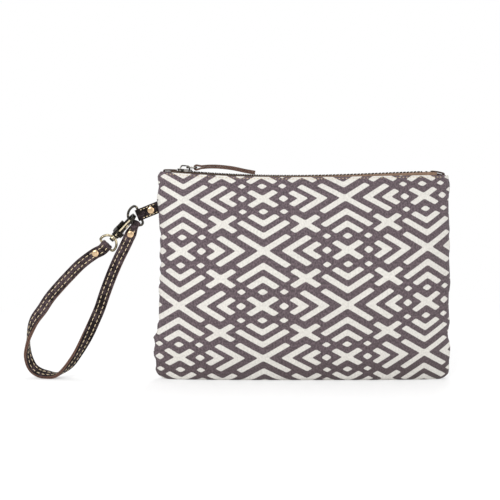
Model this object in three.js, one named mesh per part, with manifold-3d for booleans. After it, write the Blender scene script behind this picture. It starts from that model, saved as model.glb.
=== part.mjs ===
// A zipped canvas pouch with a leather wrist strap clipped to its side.
// Millimetres, +Z up. The origin is on the flat base, +X runs to the right along the zip,
// and the front panel looks towards -Y. The strap lies in the plane y = 0, left of the pouch.

import * as THREE from 'three';
import { mergeVertices } from 'three/addons/utils/BufferGeometryUtils.js';
import Module from 'manifold-3d';

const wasm = await Module();
wasm.setup();

// Pouch body
const BAG_CENTRE_X = 1.3;
const BAG_HALF_WIDTH = 124.5;
const BAG_FOOT_SPREAD = 2.6;
const BASE_HALF_DEPTH = 10;
const BASE_CORNER_RADIUS = 4;
const BAG_BULGE = 5.2;
const MOUTH_HALF_DEPTH = 6.6;
const BOTTOM_CORNER_RADIUS = 11;
const EDGE_POWER_LOW = 3.2;
const EDGE_POWER_HIGH = 14;
const CANVAS_THICKNESS = 1.0;
const LINING_THICKNESS = 0.5;
const LINING_GAP = 1.15;
const PANEL_GAP = 0.3;
const SEAM_BEHIND_CENTRE = 5;
// How far each side seam stands to the right of its straight line, by the share of the height.
const SIDE_WAVE_LEFT = [[0, -0.6], [0.15, -2.2], [0.3, -0.4], [0.5, 1.2], [0.7, 1.9], [0.88, -1.2], [1, 1.4]];
const SIDE_WAVE_RIGHT = [[0, 0.2], [0.15, 0.8], [0.45, 1.2], [0.6, 0.2], [0.8, -1.1], [0.93, -1.8], [1, -2]];
const SIDE_WAVE_POWER = 6;
const CANVAS_TOP_MIDDLE = 174;
const CANVAS_TOP_RISE = 4.3;
const CANVAS_TOP_TILT = -1.7;
const MOUTH_SWELL = 1.1;
const SWELL_PAST_ZIP = 19.5;
const LINING_TOP_DROP = 3.4;

// Zip
const ZIP_MIDDLE_Z = 175.4;
const ZIP_RISE = 4.3;
const ZIP_TILT = -0.95;
const ZIP_HALF_LENGTH = 105;
const CHAIN_START_X = -98.5;
const CHAIN_END_X = 104.5;
const TOOTH_PITCH = 3.0;
const TOOTH_WIDTH = 1.2;
const TOOTH_REACH = 0.6;
const TOOTH_SINK = 0.15;
const BEAD_INNER_Y = 1.2;
const BEAD_OUTER_Y = 2.3;
const CHAIN_THICKNESS = 2.0;
const TAPE_THICKNESS = 0.5;
const TAPE_INSET = 1.6;
const TAPE_SHOULDER = 0.55;
const TAPE_SLOPE = 0.34;
const TAPE_HEM = 6;
const TAPE_START_X = -112.5;
const TAPE_END_X = 113.5;
const STOP_LENGTH = 1.6;
const STOP_GAP = 0.3;
const ZIP_END_LENGTH = 11.5;
const ZIP_END_HALF_WIDTH = 2.4;
const ZIP_END_LEATHER = 1.4;
const ZIP_END_DEPTH = 3.2;
const ZIP_END_TOP = 0.5;
const ZIP_END_DROOP_LEFT = 0.9;
const ZIP_END_DROOP = 2.4;
const ZIP_END_LEFT_X = -107.5;
const ZIP_END_RIGHT_X = 109.3;

// Slider, its link and the leather pull
const SLIDER_REST_X = -100.6;
const SLIDER_LENGTH = 12.4;
const SLIDER_HALF_WIDTH = 3.95;
const SLIDER_PLATE = 1.2;
const SLIDER_CLEARANCE = 0.3;
const SLIDER_FLANGE = 0.8;
const SLIDER_FLANGE_DROP = 0.9;
const WEDGE_LENGTH = 4.6;
const WEDGE_HALF_WIDTH = 1.7;
const BRIDGE_WIDTH = 2.4;
const BRIDGE_LENGTH = 9;
const BRIDGE_HEIGHT = 3.4;
const BRIDGE_THICKNESS = 1.1;
const LINK_WIRE_RADIUS = 0.75;
const LINK_HALF_LENGTH = 4.0;
const LINK_PLAY = 0.06;
const LINK_HALF_WIDTH = 3.6;
const PULL_WIDTH = 5;
const PULL_LAYER = 1.6;
const PULL_ARCH = [
  [-86.4, 183.4], [-80, 183.9], [-72, 183.8], [-60, 182.5], [-49, 180.2], [-40.6, 178.7],
];

// Rings, tab and rivets
const RING_WIRE_RADIUS = 1.05;
const RING_RADIUS = 8.6;
const RING_STRAIGHT = 1.7;
const RING_CENTRE = [-141, 142.2];
const RING_BULGE_ANGLE = 202.3;
const LEATHER_LAYER = 1.4;
const LAYER_GAP = 0.2;
const WIRE_CLEARANCE = 0.3;
const TAB_WIDTH = 10;
const TAB_INSIDE_BAG = 6;
const TAB_RIVET_FROM_BAR = 10.4;
const SLOT_CLEARANCE = 0.35;
const RIVET_POST_RADIUS = 1.2;
const RIVET_HOLE_CLEARANCE = 0.3;
const RIVET_CAP_RADIUS = 3.1;
const RIVET_CAP_HEIGHT = 1.2;
const RIVET_BACK_RADIUS = 2.7;
const RIVET_BACK_HEIGHT = 0.7;
const RIVET_SEAT_GAP = 0.15;

// Snap hook and swivel eye
const HOOK_COLLAR = [-161,124.3];
const HOOK_ANGLE = 46.5;
const HOOK_ROLL = 74;
const HOOK_HALF_PITCH = 3.9;
const HOOK_BAR = 2.2;
const HOOK_THICKNESS = 7.6;
const HOOK_BEND_AT = 20.4;
const HOOK_TIP_AT = 16.4;
const HOOK_NOSE_FROM = 14;
const HOOK_NOSE_THICKNESS = 3;
const HOOK_BASE_THICKNESS = 8;
const HOOK_THROAT_FLOOR = 6.6;
const COLLAR_RADIUS = 3.4;
const COLLAR_HEIGHT = 2.6;
const SWIVEL_CLEARANCE = 0.1;
const POST_RADIUS = 1.4;
const POST_HEAD_RADIUS = 2.1;
const POST_HEAD_HEIGHT = 1.5;
const GATE_PIVOT = [3.4, 4.6];
const GATE_HUB_RADIUS = 1.5;
const GATE_BAR = 1.9;
const GATE_GAP = 0.3;
const GATE_SLOT_HALF = 2.1;
const GATE_PIN_RADIUS = 0.55;
const GATE_PIN_CLEARANCE = 0.12;
const KNOB_AT = 13.2;
const KNOB_RADIUS = 1.35;
const KNOB_REACH = 2.1;
const EYE_WIRE_RADIUS = 1.1;
const EYE_RADIUS = 7.5;
const EYE_STRAIGHT = 1.95;
const EYE_BOSS_RADIUS = 2.8;
const EYE_BOSS_HEIGHT = 3.1;
const SPRING_WIRE_RADIUS = 0.16;
const SPRING_TURNS = 2;

// Wrist strap
const STRAP_WIDTH = 9.6;
const STRAP_RING_END_WIDTH = 6.2;
const STRAP_TAPER_LENGTH = 9;
const RING_FOLD_ANGLE = -106;
const RING_FOLD_HEADING = -119;
const RING_FOLD_SHIFT = 1.4;
const STRAIGHT_AT_FOLD = 5;
const BEND_EASE = 6;
const RETURN_STEPS = 3;
const EYE_RIVET_AT = 11.4;
const RING_RIVET_AT = 8.6;
const STRAP_ROUTE = [
  [-178.1, 109.5], [-189.7, 101], [-200.1, 90.6], [-209.8, 80.2], [-218, 70.5], [-224.1, 61.3],
  [-231.2, 51.2], [-235.2, 40.2], [-237.4, 28.3], [-237.2, 18.8], [-233.6, 9.6], [-228.1, 5.5],
  [-221.4, 3.9], [-214.6, 3.5], [-208.8, 6.6], [-202.2, 12.5], [-194.5, 23.4], [-185.7, 38.8],
  [-179.5, 51.5], [-174.7, 62.4], [-170.8, 73.3], [-166.7, 84.2], [-162.2, 95.1], [-157.1, 106.3],
  [-152.1, 116.2],
];
const STRAP_TWIST = [
  [0, 0], [0.06, 0], [0.14, 12], [0.25, 20], [0.45, 124], [0.575, 54],
  [0.72, 8], [0.8, -4], [0.88, -8], [0.94, 0], [1, 0],
];
const STRAP_STEPS = 72;

const CANVAS_COLOUR = 0x8a7f84;
const LINING_COLOUR = 0xcfc4b2;
const TAPE_COLOUR = 0x9a7d60;
const ZIP_METAL_COLOUR = 0x6f6252;
const DARK_LEATHER_COLOUR = 0x2c2423;
const BROWN_LEATHER_COLOUR = 0x5b4034;
const DARK_METAL_COLOUR = 0x3a3834;
const RIVET_COLOUR = 0xd9b98c;

const DEGREE = Math.PI / 180;

function material(colour, roughness, metalness) {
  return new THREE.MeshStandardMaterial({ color: colour, roughness, metalness });
}

const canvas = material(CANVAS_COLOUR, 0.9, 0);
const lining = material(LINING_COLOUR, 0.9, 0);
const tape = material(TAPE_COLOUR, 0.85, 0);
const zipMetal = material(ZIP_METAL_COLOUR, 0.4, 1);
const darkLeather = material(DARK_LEATHER_COLOUR, 0.6, 0);
const brownLeather = material(BROWN_LEATHER_COLOUR, 0.6, 0);
const darkMetal = material(DARK_METAL_COLOUR, 0.35, 1);
const rivetMetal = material(RIVET_COLOUR, 0.3, 1);

const pouch = new THREE.Group();

function add(name, geometry, look) {
  const mesh = new THREE.Mesh(geometry, look);
  mesh.name = name;
  pouch.add(mesh);
  return mesh;
}

// A closed geometry from points and triangles, with its faces turned outwards.
function solidFrom(points, triangles) {
  let volume = 0;
  for (const [a, b, c] of triangles) {
    volume += points[a].dot(new THREE.Vector3().crossVectors(points[b], points[c])) / 6;
  }
  const index = triangles.flatMap(([a, b, c]) => (volume > 0 ? [a, b, c] : [a, c, b]));
  const geometry = new THREE.BufferGeometry();
  const position = points.flatMap((point) => [point.x, point.y, point.z]);
  geometry.setAttribute('position', new THREE.Float32BufferAttribute(position, 3));
  geometry.setIndex(index);
  return geometry;
}

// A sheet with thickness: two grids of points, one for each face, joined round their edges.
function sheet(outer, inner) {
  const rows = outer.length;
  const columns = outer[0].length;
  const points = [...outer.flat(), ...inner.flat()];
  const triangles = [];
  const quad = (a, b, c, d) => triangles.push([a, b, c], [a, c, d]);
  const at = (row, column) => row * columns + column;
  const under = (row, column) => rows * columns + at(row, column);
  for (let row = 0; row < rows - 1; row += 1) {
    for (let column = 0; column < columns - 1; column += 1) {
      quad(at(row, column), at(row + 1, column), at(row + 1, column + 1), at(row, column + 1));
      quad(under(row, column), under(row, column + 1), under(row + 1, column + 1), under(row + 1, column));
    }
    const last = columns - 1;
    quad(at(row, 0), under(row, 0), under(row + 1, 0), at(row + 1, 0));
    quad(at(row, last), at(row + 1, last), under(row + 1, last), under(row, last));
  }
  for (let column = 0; column < columns - 1; column += 1) {
    const last = rows - 1;
    quad(at(0, column), at(0, column + 1), under(0, column + 1), under(0, column));
    quad(at(last, column), under(last, column), under(last, column + 1), at(last, column + 1));
  }
  return solidFrom(points, triangles);
}

// A closed hoop of wire along a flat loop of points, where side is the loop plane's normal.
function hoop(loop, side, radius, sides) {
  const points = [];
  const triangles = [];
  const count = loop.length;
  loop.forEach((centre, i) => {
    const ahead = loop[(i + 1) % count];
    const behind = loop[(i + count - 1) % count];
    const along = new THREE.Vector3().subVectors(ahead, behind).normalize();
    const across = new THREE.Vector3().crossVectors(along, side).normalize();
    for (let k = 0; k < sides; k += 1) {
      const turn = (2 * Math.PI * (k + 0.5)) / sides;
      const offset = across.clone().multiplyScalar(radius * Math.cos(turn));
      points.push(centre.clone().add(offset).addScaledVector(side, radius * Math.sin(turn)));
      const next = ((i + 1) % count) * sides;
      const here = i * sides;
      const k2 = (k + 1) % sides;
      triangles.push([here + k, next + k, next + k2], [here + k, next + k2, here + k2]);
    }
  });
  return solidFrom(points, triangles);
}

function toManifold(geometry) {
  const bare = geometry.clone();
  bare.deleteAttribute('normal');
  bare.deleteAttribute('uv');
  const merged = mergeVertices(bare, 1e-5);
  const vertProperties = new Float32Array(merged.attributes.position.array);
  const triVerts = new Uint32Array(merged.index.array);
  return new wasm.Manifold(new wasm.Mesh({ numProp: 3, vertProperties, triVerts }));
}

function fromManifold(solid) {
  const mesh = solid.getMesh();
  const geometry = new THREE.BufferGeometry();
  geometry.setAttribute('position', new THREE.Float32BufferAttribute(mesh.vertProperties, 3));
  geometry.setIndex(Array.from(mesh.triVerts));
  return geometry;
}

function cut(geometry, ...tools) {
  return fromManifold(tools.reduce((left, tool) => left.subtract(toManifold(tool)), toManifold(geometry)));
}

function join(geometry, ...others) {
  return fromManifold(others.reduce((left, other) => left.add(toManifold(other)), toManifold(geometry)));
}

function plane(x, z) {
  return new THREE.Vector3(x, 0, z);
}

function direction(degrees) {
  return plane(Math.cos(degrees * DEGREE), Math.sin(degrees * DEGREE));
}

// The pouch body: one surface function, inset by a distance for each layer.
// The value of a table at a share, blended smoothly between its entries.
function tableAt(table, share) {
  const next = table.findIndex(([at]) => at >= share);
  if (next <= 0) {
    return table[0][1];
  }
  const [fromShare, fromValue] = table[next - 1];
  const [toShare, toValue] = table[next];
  return THREE.MathUtils.lerp(fromValue, toValue, THREE.MathUtils.smoothstep(share, fromShare, toShare));
}

// The mouth stands a little higher right of its middle.
function mouthSwell(x) {
  const share = THREE.MathUtils.clamp(x / (ZIP_HALF_LENGTH + SWELL_PAST_ZIP), -1, 1);
  return MOUTH_SWELL * (1 - share * share) * (1 + share) ** 2;
}

function canvasTop(x) {
  const share = x / BAG_HALF_WIDTH;
  return CANVAS_TOP_MIDDLE + CANVAS_TOP_RISE * share * share + CANVAS_TOP_TILT * share + mouthSwell(x);
}

function zipTop(x) {
  const share = x / ZIP_HALF_LENGTH;
  return ZIP_MIDDLE_Z + ZIP_RISE * share * share + ZIP_TILT * share + mouthSwell(x);
}

// Depth and height of one point of the wall, where side is -1 in front and 1 behind.
function wallPoint(share, across, side, inset, topDrop) {
  const spread = BAG_FOOT_SPREAD * (1 - share) ** 3;
  const straightX = BAG_CENTRE_X + across * (BAG_HALF_WIDTH + spread - inset);
  const wave = tableAt(across < 0 ? SIDE_WAVE_LEFT : SIDE_WAVE_RIGHT, share);
  const x = straightX + wave * Math.abs(across) ** SIDE_WAVE_POWER;
  const straight = THREE.MathUtils.lerp(BASE_HALF_DEPTH, MOUTH_HALF_DEPTH, share);
  const depth = straight + BAG_BULGE * 4 * share * (1 - share) - inset;
  const power = THREE.MathUtils.lerp(EDGE_POWER_LOW, EDGE_POWER_HIGH, share * share);
  const pinch = Math.sqrt(Math.max(0, 1 - Math.abs(across) ** power));
  const foot = BASE_CORNER_RADIUS;
  const z = foot + share * (canvasTop(x) - topDrop - foot);
  return { x, straightX, depth: side * depth * pinch, z, pinch };
}

function cornerLift(x, inset) {
  const flat = BAG_HALF_WIDTH + BAG_FOOT_SPREAD - inset - BOTTOM_CORNER_RADIUS;
  const over = Math.max(0, Math.abs(x - BAG_CENTRE_X) - flat);
  const radius = BOTTOM_CORNER_RADIUS;
  return radius - Math.sqrt(Math.max(0, radius * radius - over * over));
}

// One column of points up the layer, from the seam under the base to the mouth.
function layerColumn(across, side, inset, topDrop) {
  const column = [];
  const place = (y, z, { x, straightX }) => {
    const lift = cornerLift(straightX, inset);
    const height = lift + z * (1 - lift / canvasTop(x));
    column.push(new THREE.Vector3(x, y + (side * PANEL_GAP) / 2, height));
  };
  const bottom = wallPoint(0, across, side, inset, topDrop);
  const flatEnd = side * (BASE_HALF_DEPTH - BASE_CORNER_RADIUS) * bottom.pinch;
  const seam = SEAM_BEHIND_CENTRE * bottom.pinch;
  const baseSteps = side < 0 ? 3 : 1;
  for (let step = 0; step <= baseSteps; step += 1) {
    place(THREE.MathUtils.lerp(seam, flatEnd, step / baseSteps), inset, bottom);
  }
  const cornerSteps = 4;
  for (let step = 1; step < cornerSteps; step += 1) {
    const turn = (step / cornerSteps) * 90 * DEGREE;
    const reach = (BASE_CORNER_RADIUS - inset) * Math.sin(turn);
    const y = side * (BASE_HALF_DEPTH - BASE_CORNER_RADIUS + reach) * bottom.pinch;
    const z = BASE_CORNER_RADIUS - (BASE_CORNER_RADIUS - inset) * Math.cos(turn);
    place(y, z, bottom);
  }
  const wallSteps = 12;
  for (let step = 0; step <= wallSteps; step += 1) {
    const point = wallPoint(step / wallSteps, across, side, inset, topDrop);
    place(point.depth, point.z, point);
  }
  return column;
}

function bagLayer(side, outerInset, innerInset, topDrop) {
  const stations = [];
  const halfSteps = 11;
  for (let step = -halfSteps; step <= halfSteps; step += 1) {
    stations.push(Math.sin((step / halfSteps) * 90 * DEGREE));
  }
  const grid = (inset) => stations.map((across) => layerColumn(across, side, inset, topDrop));
  return sheet(grid(outerInset), grid(innerInset));
}

// Side tab: one strip of leather folded round the ring's bar, with both ends in the side seam.
const bulge = direction(RING_BULGE_ANGLE);
const ringCentre = plane(...RING_CENTRE);
const barCentre = ringCentre.clone().addScaledVector(bulge, -RING_STRAIGHT);
const barAlong = direction(RING_BULGE_ANGLE + 90);
const forward = new THREE.Vector3(0, -1, 0);
const foldRadius = RING_WIRE_RADIUS + WIRE_CLEARANCE;
const legHalf = LAYER_GAP / 2;

// Points of a strip folded round a bar: the front leg, the bend and the back leg, one offset at a time.
function foldProfile(centre, out, legFront, legBack, frontLevel, backLevel, offset, bendRadius) {
  const points = [];
  const bend = bendRadius + offset;
  const at = (along, level) => centre.clone().addScaledVector(out, along).addScaledVector(forward, level);
  const ease = 4;
  points.push(at(-legFront, frontLevel + offset));
  points.push(at(-ease, frontLevel + offset));
  const steps = 8;
  for (let step = 0; step <= steps; step += 1) {
    const turn = 90 - (step / steps) * 180;
    points.push(at(bend * Math.cos(turn * DEGREE), bend * Math.sin(turn * DEGREE)));
  }
  points.push(at(-ease, -backLevel - offset));
  points.push(at(-legBack, -backLevel - offset));
  return points;
}

function strip(profileOuter, profileInner, across, width) {
  const grid = (profile) => profile.map((point) => [
    point.clone().addScaledVector(across, -width / 2),
    point.clone().addScaledVector(across, width / 2),
  ]);
  return sheet(grid(profileOuter), grid(profileInner));
}

const seamPoint = BAG_CENTRE_X - BAG_HALF_WIDTH;
const tabLeg = (seamPoint + TAB_INSIDE_BAG - barCentre.x) / -bulge.x;

function tabBlank(grow) {
  const profile = (offset) => foldProfile(
    barCentre, bulge, tabLeg + grow, tabLeg + grow, legHalf, legHalf, offset, foldRadius,
  );
  return strip(profile(LEATHER_LAYER + grow), profile(0), barAlong, TAB_WIDTH + 2 * grow);
}

function tabSlot() {
  const inset = LEATHER_LAYER + legHalf + SLOT_CLEARANCE;
  const length = 30;
  const box = new THREE.BoxGeometry(length, 2 * inset, TAB_WIDTH + 2 * SLOT_CLEARANCE);
  box.rotateY(-(RING_BULGE_ANGLE - 180) * DEGREE);
  const middle = barCentre.clone().addScaledVector(bulge, -(tabLeg + SLOT_CLEARANCE - length / 2));
  box.translate(middle.x, middle.y, middle.z);
  return box;
}

// A round tool or post with its axis along a given direction.
function rod(centre, along, radius, length, sides = 20) {
  const geometry = new THREE.CylinderGeometry(radius, radius, length, sides);
  const turn = new THREE.Quaternion().setFromUnitVectors(new THREE.Vector3(0, 1, 0), along);
  geometry.applyQuaternion(turn);
  geometry.translate(centre.x, centre.y, centre.z);
  return geometry;
}

// Cap rivet: a domed cap in front, a post through the leather and a small cap behind.
function rivet(front, facing, stack) {
  const cap = RIVET_SEAT_GAP;
  const back = -stack - RIVET_SEAT_GAP;
  const outline = [
    [0, back - RIVET_BACK_HEIGHT],
    [RIVET_BACK_RADIUS * 0.8, back - RIVET_BACK_HEIGHT],
    [RIVET_BACK_RADIUS, back - RIVET_BACK_HEIGHT * 0.6],
    [RIVET_BACK_RADIUS, back],
    [RIVET_POST_RADIUS, back],
    [RIVET_POST_RADIUS, cap],
    [RIVET_CAP_RADIUS, cap],
  ];
  const domeSteps = 4;
  for (let step = 1; step <= domeSteps; step += 1) {
    const turn = (step / domeSteps) * 90 * DEGREE;
    const radius = step === domeSteps ? 0 : RIVET_CAP_RADIUS * Math.cos(turn);
    outline.push([radius, cap + RIVET_CAP_HEIGHT * Math.sin(turn)]);
  }
  const geometry = new THREE.LatheGeometry(outline.map(([x, y]) => new THREE.Vector2(x, y)), 20);
  const turn = new THREE.Quaternion().setFromUnitVectors(new THREE.Vector3(0, 1, 0), facing);
  geometry.applyQuaternion(turn);
  geometry.translate(front.x, front.y, front.z);
  return geometry;
}

function rivetHole(front, facing) {
  const holeLength = 16;
  return rod(front, facing, RIVET_POST_RADIUS + RIVET_HOLE_CLEARANCE, holeLength, 20);
}

function buildBody() {
  const slot = tabSlot();
  const inner = CANVAS_THICKNESS + LINING_GAP;
  const layers = [
    ['front_panel', -1, 0, CANVAS_THICKNESS, 0, canvas],
    ['back_panel', 1, 0, CANVAS_THICKNESS, 0, canvas],
    ['front_lining', -1, inner, inner + LINING_THICKNESS, LINING_TOP_DROP, lining],
    ['back_lining', 1, inner, inner + LINING_THICKNESS, LINING_TOP_DROP, lining],
  ];
  for (const [name, side, outerInset, innerInset, drop, look] of layers) {
    add(name, cut(bagLayer(side, outerInset, innerInset, drop), slot), look);
  }
}

function buildTab() {
  const front = barCentre.clone()
    .addScaledVector(bulge, -TAB_RIVET_FROM_BAR)
    .addScaledVector(forward, legHalf + LEATHER_LAYER);
  add('side_tab', cut(tabBlank(0), rivetHole(front, forward)), darkLeather);
  add('tab_rivet', rivet(front, forward, 2 * LEATHER_LAYER + LAYER_GAP), rivetMetal);
}

// A ring shaped like a D: half a circle, two short straights and a bar with round corners.
function ringLoop(centre, out, radius, straight) {
  const across = new THREE.Vector3().crossVectors(out, forward).normalize();
  const corner = Math.min(2.4, straight);
  const loop = [];
  const at = (along, aside) => centre.clone().addScaledVector(out, along).addScaledVector(across, aside);
  const arcSteps = 14;
  for (let step = 0; step <= arcSteps; step += 1) {
    const turn = (-90 + (step / arcSteps) * 180) * DEGREE;
    loop.push(at(radius * Math.cos(turn), radius * Math.sin(turn)));
  }
  const cornerSteps = 3;
  for (const sign of [1, -1]) {
    for (let step = 0; step <= cornerSteps; step += 1) {
      const share = sign > 0 ? step / cornerSteps : 1 - step / cornerSteps;
      const turn = share * 90 * DEGREE;
      const along = -straight + corner - corner * Math.sin(turn);
      const aside = sign * (radius - corner + corner * Math.cos(turn));
      if (along < -0.01) {
        loop.push(at(along, aside));
      }
    }
  }
  return loop;
}

function buildRing() {
  const loop = ringLoop(ringCentre, bulge, RING_RADIUS, RING_STRAIGHT);
  add('d_ring', hoop(loop, forward, RING_WIRE_RADIUS, 8), darkMetal);
}

// Snap hook: its own axes are out (towards the gate), up (towards the bend) and side.
const hookUp = direction(HOOK_ANGLE);
const pictureRight = direction(HOOK_ANGLE - 90);
const hookOut = pictureRight.clone()
  .multiplyScalar(Math.cos(HOOK_ROLL * DEGREE))
  .addScaledVector(forward, Math.sin(HOOK_ROLL * DEGREE));
const hookSide = new THREE.Vector3().crossVectors(hookOut, hookUp);
const hookFrame = new THREE.Matrix4()
  .makeBasis(hookOut, hookUp, hookSide)
  .setPosition(plane(...HOOK_COLLAR));

function arc(shape, x, y, radius, from, to, clockwise) {
  shape.absarc(x, y, radius, from * DEGREE, to * DEGREE, clockwise);
}

function plate(shape, thickness, curveSegments = 8) {
  const geometry = new THREE.ExtrudeGeometry(shape, { depth: thickness, bevelEnabled: false, curveSegments });
  geometry.translate(0, 0, -thickness / 2);
  return geometry;
}

function upright(bottom, top, radius, sides = 20) {
  const geometry = new THREE.CylinderGeometry(radius, radius, top - bottom, sides);
  geometry.translate(0, (top + bottom) / 2, 0);
  return geometry;
}

const postBottom = -(SWIVEL_CLEARANCE * 2 + EYE_BOSS_HEIGHT);

function hookBody() {
  const inner = HOOK_HALF_PITCH - HOOK_BAR / 2;
  const outer = HOOK_HALF_PITCH + HOOK_BAR / 2;
  const curve = new THREE.Shape();
  curve.moveTo(-COLLAR_RADIUS, COLLAR_HEIGHT - 0.6);
  curve.lineTo(COLLAR_RADIUS, COLLAR_HEIGHT - 0.6);
  curve.lineTo(outer, GATE_PIVOT[1] - 1);
  curve.lineTo(outer, HOOK_THROAT_FLOOR);
  curve.lineTo(-inner, HOOK_THROAT_FLOOR);
  curve.lineTo(-inner, HOOK_BEND_AT);
  arc(curve, 0, HOOK_BEND_AT, inner, 180, 0, true);
  curve.lineTo(inner, HOOK_TIP_AT);
  curve.lineTo(outer, HOOK_TIP_AT);
  curve.lineTo(outer, HOOK_BEND_AT);
  arc(curve, 0, HOOK_BEND_AT, outer, 0, 180, false);
  curve.lineTo(-outer, GATE_PIVOT[1] - 1);
  curve.closePath();
  const base = new THREE.Shape();
  base.moveTo(-COLLAR_RADIUS + 0.4, COLLAR_HEIGHT - 0.5);
  base.lineTo(COLLAR_RADIUS - 0.4, COLLAR_HEIGHT - 0.5);
  base.lineTo(outer - 0.3, GATE_PIVOT[1] - 0.4);
  base.lineTo(outer - 0.3, HOOK_THROAT_FLOOR - 0.4);
  base.lineTo(-outer + 0.4, HOOK_THROAT_FLOOR + 1.2);
  base.lineTo(-outer + 0.4, GATE_PIVOT[1] - 0.6);
  base.closePath();
  const room = GATE_HUB_RADIUS + GATE_GAP;
  const slot = new THREE.BoxGeometry(2 * room + 4, 2 * room + 4, 2 * GATE_SLOT_HALF);
  slot.translate(GATE_PIVOT[0] + 2, GATE_PIVOT[1] + 2, 0);
  const pinHole = rod(
    new THREE.Vector3(...GATE_PIVOT, 0), new THREE.Vector3(0, 0, 1),
    GATE_PIN_RADIUS + GATE_PIN_CLEARANCE, 2 * HOOK_BASE_THICKNESS, 12,
  );
  const body = join(
    plate(curve, HOOK_THICKNESS),
    plate(base, HOOK_BASE_THICKNESS),
    upright(0, COLLAR_HEIGHT, COLLAR_RADIUS),
    upright(postBottom - 0.5, 0.5, POST_RADIUS),
    upright(postBottom - POST_HEAD_HEIGHT, postBottom, POST_HEAD_RADIUS),
  );
  const noseSides = [-1, 1].map((sign) => {
    const side = new THREE.BoxGeometry(4 * outer, 4 * outer, HOOK_THICKNESS);
    side.translate(0, HOOK_NOSE_FROM + 2 * outer, (sign * (HOOK_NOSE_THICKNESS + HOOK_THICKNESS)) / 2);
    return side;
  });
  return cut(body, slot, pinHole, ...noseSides);
}

function hookGate() {
  const [pivotX, pivotY] = GATE_PIVOT;
  const hub = new THREE.Shape();
  arc(hub, pivotX, pivotY, GATE_HUB_RADIUS, 0, 360, false);
  const bar = new THREE.Shape();
  const top = HOOK_TIP_AT - GATE_GAP;
  bar.moveTo(pivotX - GATE_BAR / 2, pivotY);
  bar.lineTo(pivotX + GATE_BAR / 2, pivotY);
  bar.lineTo(HOOK_HALF_PITCH + GATE_BAR / 2, top);
  bar.lineTo(HOOK_HALF_PITCH - GATE_BAR / 2, top);
  bar.closePath();
  const hubWidth = 1.2;
  const hubPlate = plate(hub, hubWidth, 14);
  hubPlate.translate(0, 0, -(GATE_SLOT_HALF - GATE_GAP - hubWidth / 2) + 0.05);
  const barWidth = 2 * (GATE_SLOT_HALF - GATE_GAP);
  const blade = plate(bar, barWidth);
  const relief = new THREE.BoxGeometry(6, 2 * GATE_HUB_RADIUS + 1, barWidth);
  relief.translate(pivotX, pivotY, hubWidth + 0.05 + GATE_GAP / 2);
  const knob = rod(
    new THREE.Vector3(HOOK_HALF_PITCH + GATE_BAR / 2 + KNOB_REACH / 2 - 0.4, KNOB_AT, 0),
    new THREE.Vector3(1, 0, 0), KNOB_RADIUS, KNOB_REACH + 0.8, 12,
  );
  const hole = rod(
    new THREE.Vector3(pivotX, pivotY, 0), new THREE.Vector3(0, 0, 1),
    GATE_PIN_RADIUS + GATE_PIN_CLEARANCE, 8, 12,
  );
  return cut(join(cut(blade, relief), hubPlate, knob), hole);
}

// Torsion spring: a few turns of wire round the pin, beside the gate's hub.
function gateSpring() {
  const radius = GATE_PIN_RADIUS + GATE_PIN_CLEARANCE + 2.4 * SPRING_WIRE_RADIUS;
  const pitch = 2.4 * SPRING_WIRE_RADIUS;
  const points = [];
  const stepsPerTurn = 8;
  for (let step = 0; step <= SPRING_TURNS * stepsPerTurn; step += 1) {
    const turn = (step / stepsPerTurn) * 2 * Math.PI;
    const x = GATE_PIVOT[0] + radius * Math.cos(turn);
    const y = GATE_PIVOT[1] + radius * Math.sin(turn);
    points.push(new THREE.Vector3(x, y, 0.42 + (pitch * step) / stepsPerTurn));
  }
  const section = new THREE.Shape();
  arc(section, 0, 0, SPRING_WIRE_RADIUS, 0, 360, false);
  return new THREE.ExtrudeGeometry(section, {
    steps: points.length - 1, extrudePath: new THREE.CatmullRomCurve3(points), curveSegments: 3,
  });
}

function buildHook() {
  const place = (name, geometry, look) => add(name, geometry.applyMatrix4(hookFrame), look);
  place('hook_body', hookBody(), darkMetal);
  place('hook_gate', hookGate(), darkMetal);
  const pinLength = HOOK_BASE_THICKNESS;
  const pin = rod(
    new THREE.Vector3(...GATE_PIVOT, 0), new THREE.Vector3(0, 0, 1), GATE_PIN_RADIUS, pinLength, 12,
  );
  place('gate_pin', pin, darkMetal);
  place('gate_spring', gateSpring(), darkMetal);
}

// Swivel eye: a small D ring with a bored boss that turns on the hook's post.
const eyeTop = -(SWIVEL_CLEARANCE + EYE_BOSS_HEIGHT / 2);
const collarPoint = plane(...HOOK_COLLAR);
const eyeDown = hookUp.clone().negate();
const eyeCentre = collarPoint.clone().addScaledVector(eyeDown, EYE_RADIUS - eyeTop);
const eyeBar = eyeCentre.clone().addScaledVector(eyeDown, EYE_STRAIGHT);

function buildEye() {
  const loop = ringLoop(eyeCentre, hookUp, EYE_RADIUS, EYE_STRAIGHT);
  const ring = hoop(loop, forward, EYE_WIRE_RADIUS, 8);
  const bossCentre = collarPoint.clone().addScaledVector(hookUp, eyeTop);
  const boss = rod(bossCentre, hookUp, EYE_BOSS_RADIUS, EYE_BOSS_HEIGHT);
  const bore = rod(bossCentre, hookUp, POST_RADIUS + SWIVEL_CLEARANCE * 1.6, EYE_BOSS_HEIGHT + 4);
  add('swivel_eye', cut(join(ring, boss), bore), darkMetal);
}

// Wrist strap: a route from the eye's bar round the loop to the ring, with a twist along it.
const foldOnRing = ringCentre.clone().addScaledVector(direction(RING_FOLD_ANGLE), RING_RADIUS);
const foldOutward = direction(RING_FOLD_HEADING);
const route = new THREE.CatmullRomCurve3([
  eyeBar,
  eyeBar.clone().addScaledVector(eyeDown, STRAIGHT_AT_FOLD),
  ...STRAP_ROUTE.map(([x, z]) => plane(x, z)),
  foldOnRing.clone().addScaledVector(foldOutward, STRAIGHT_AT_FOLD),
  foldOnRing,
], false, 'centripetal');
const routeLength = route.getLength();

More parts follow.
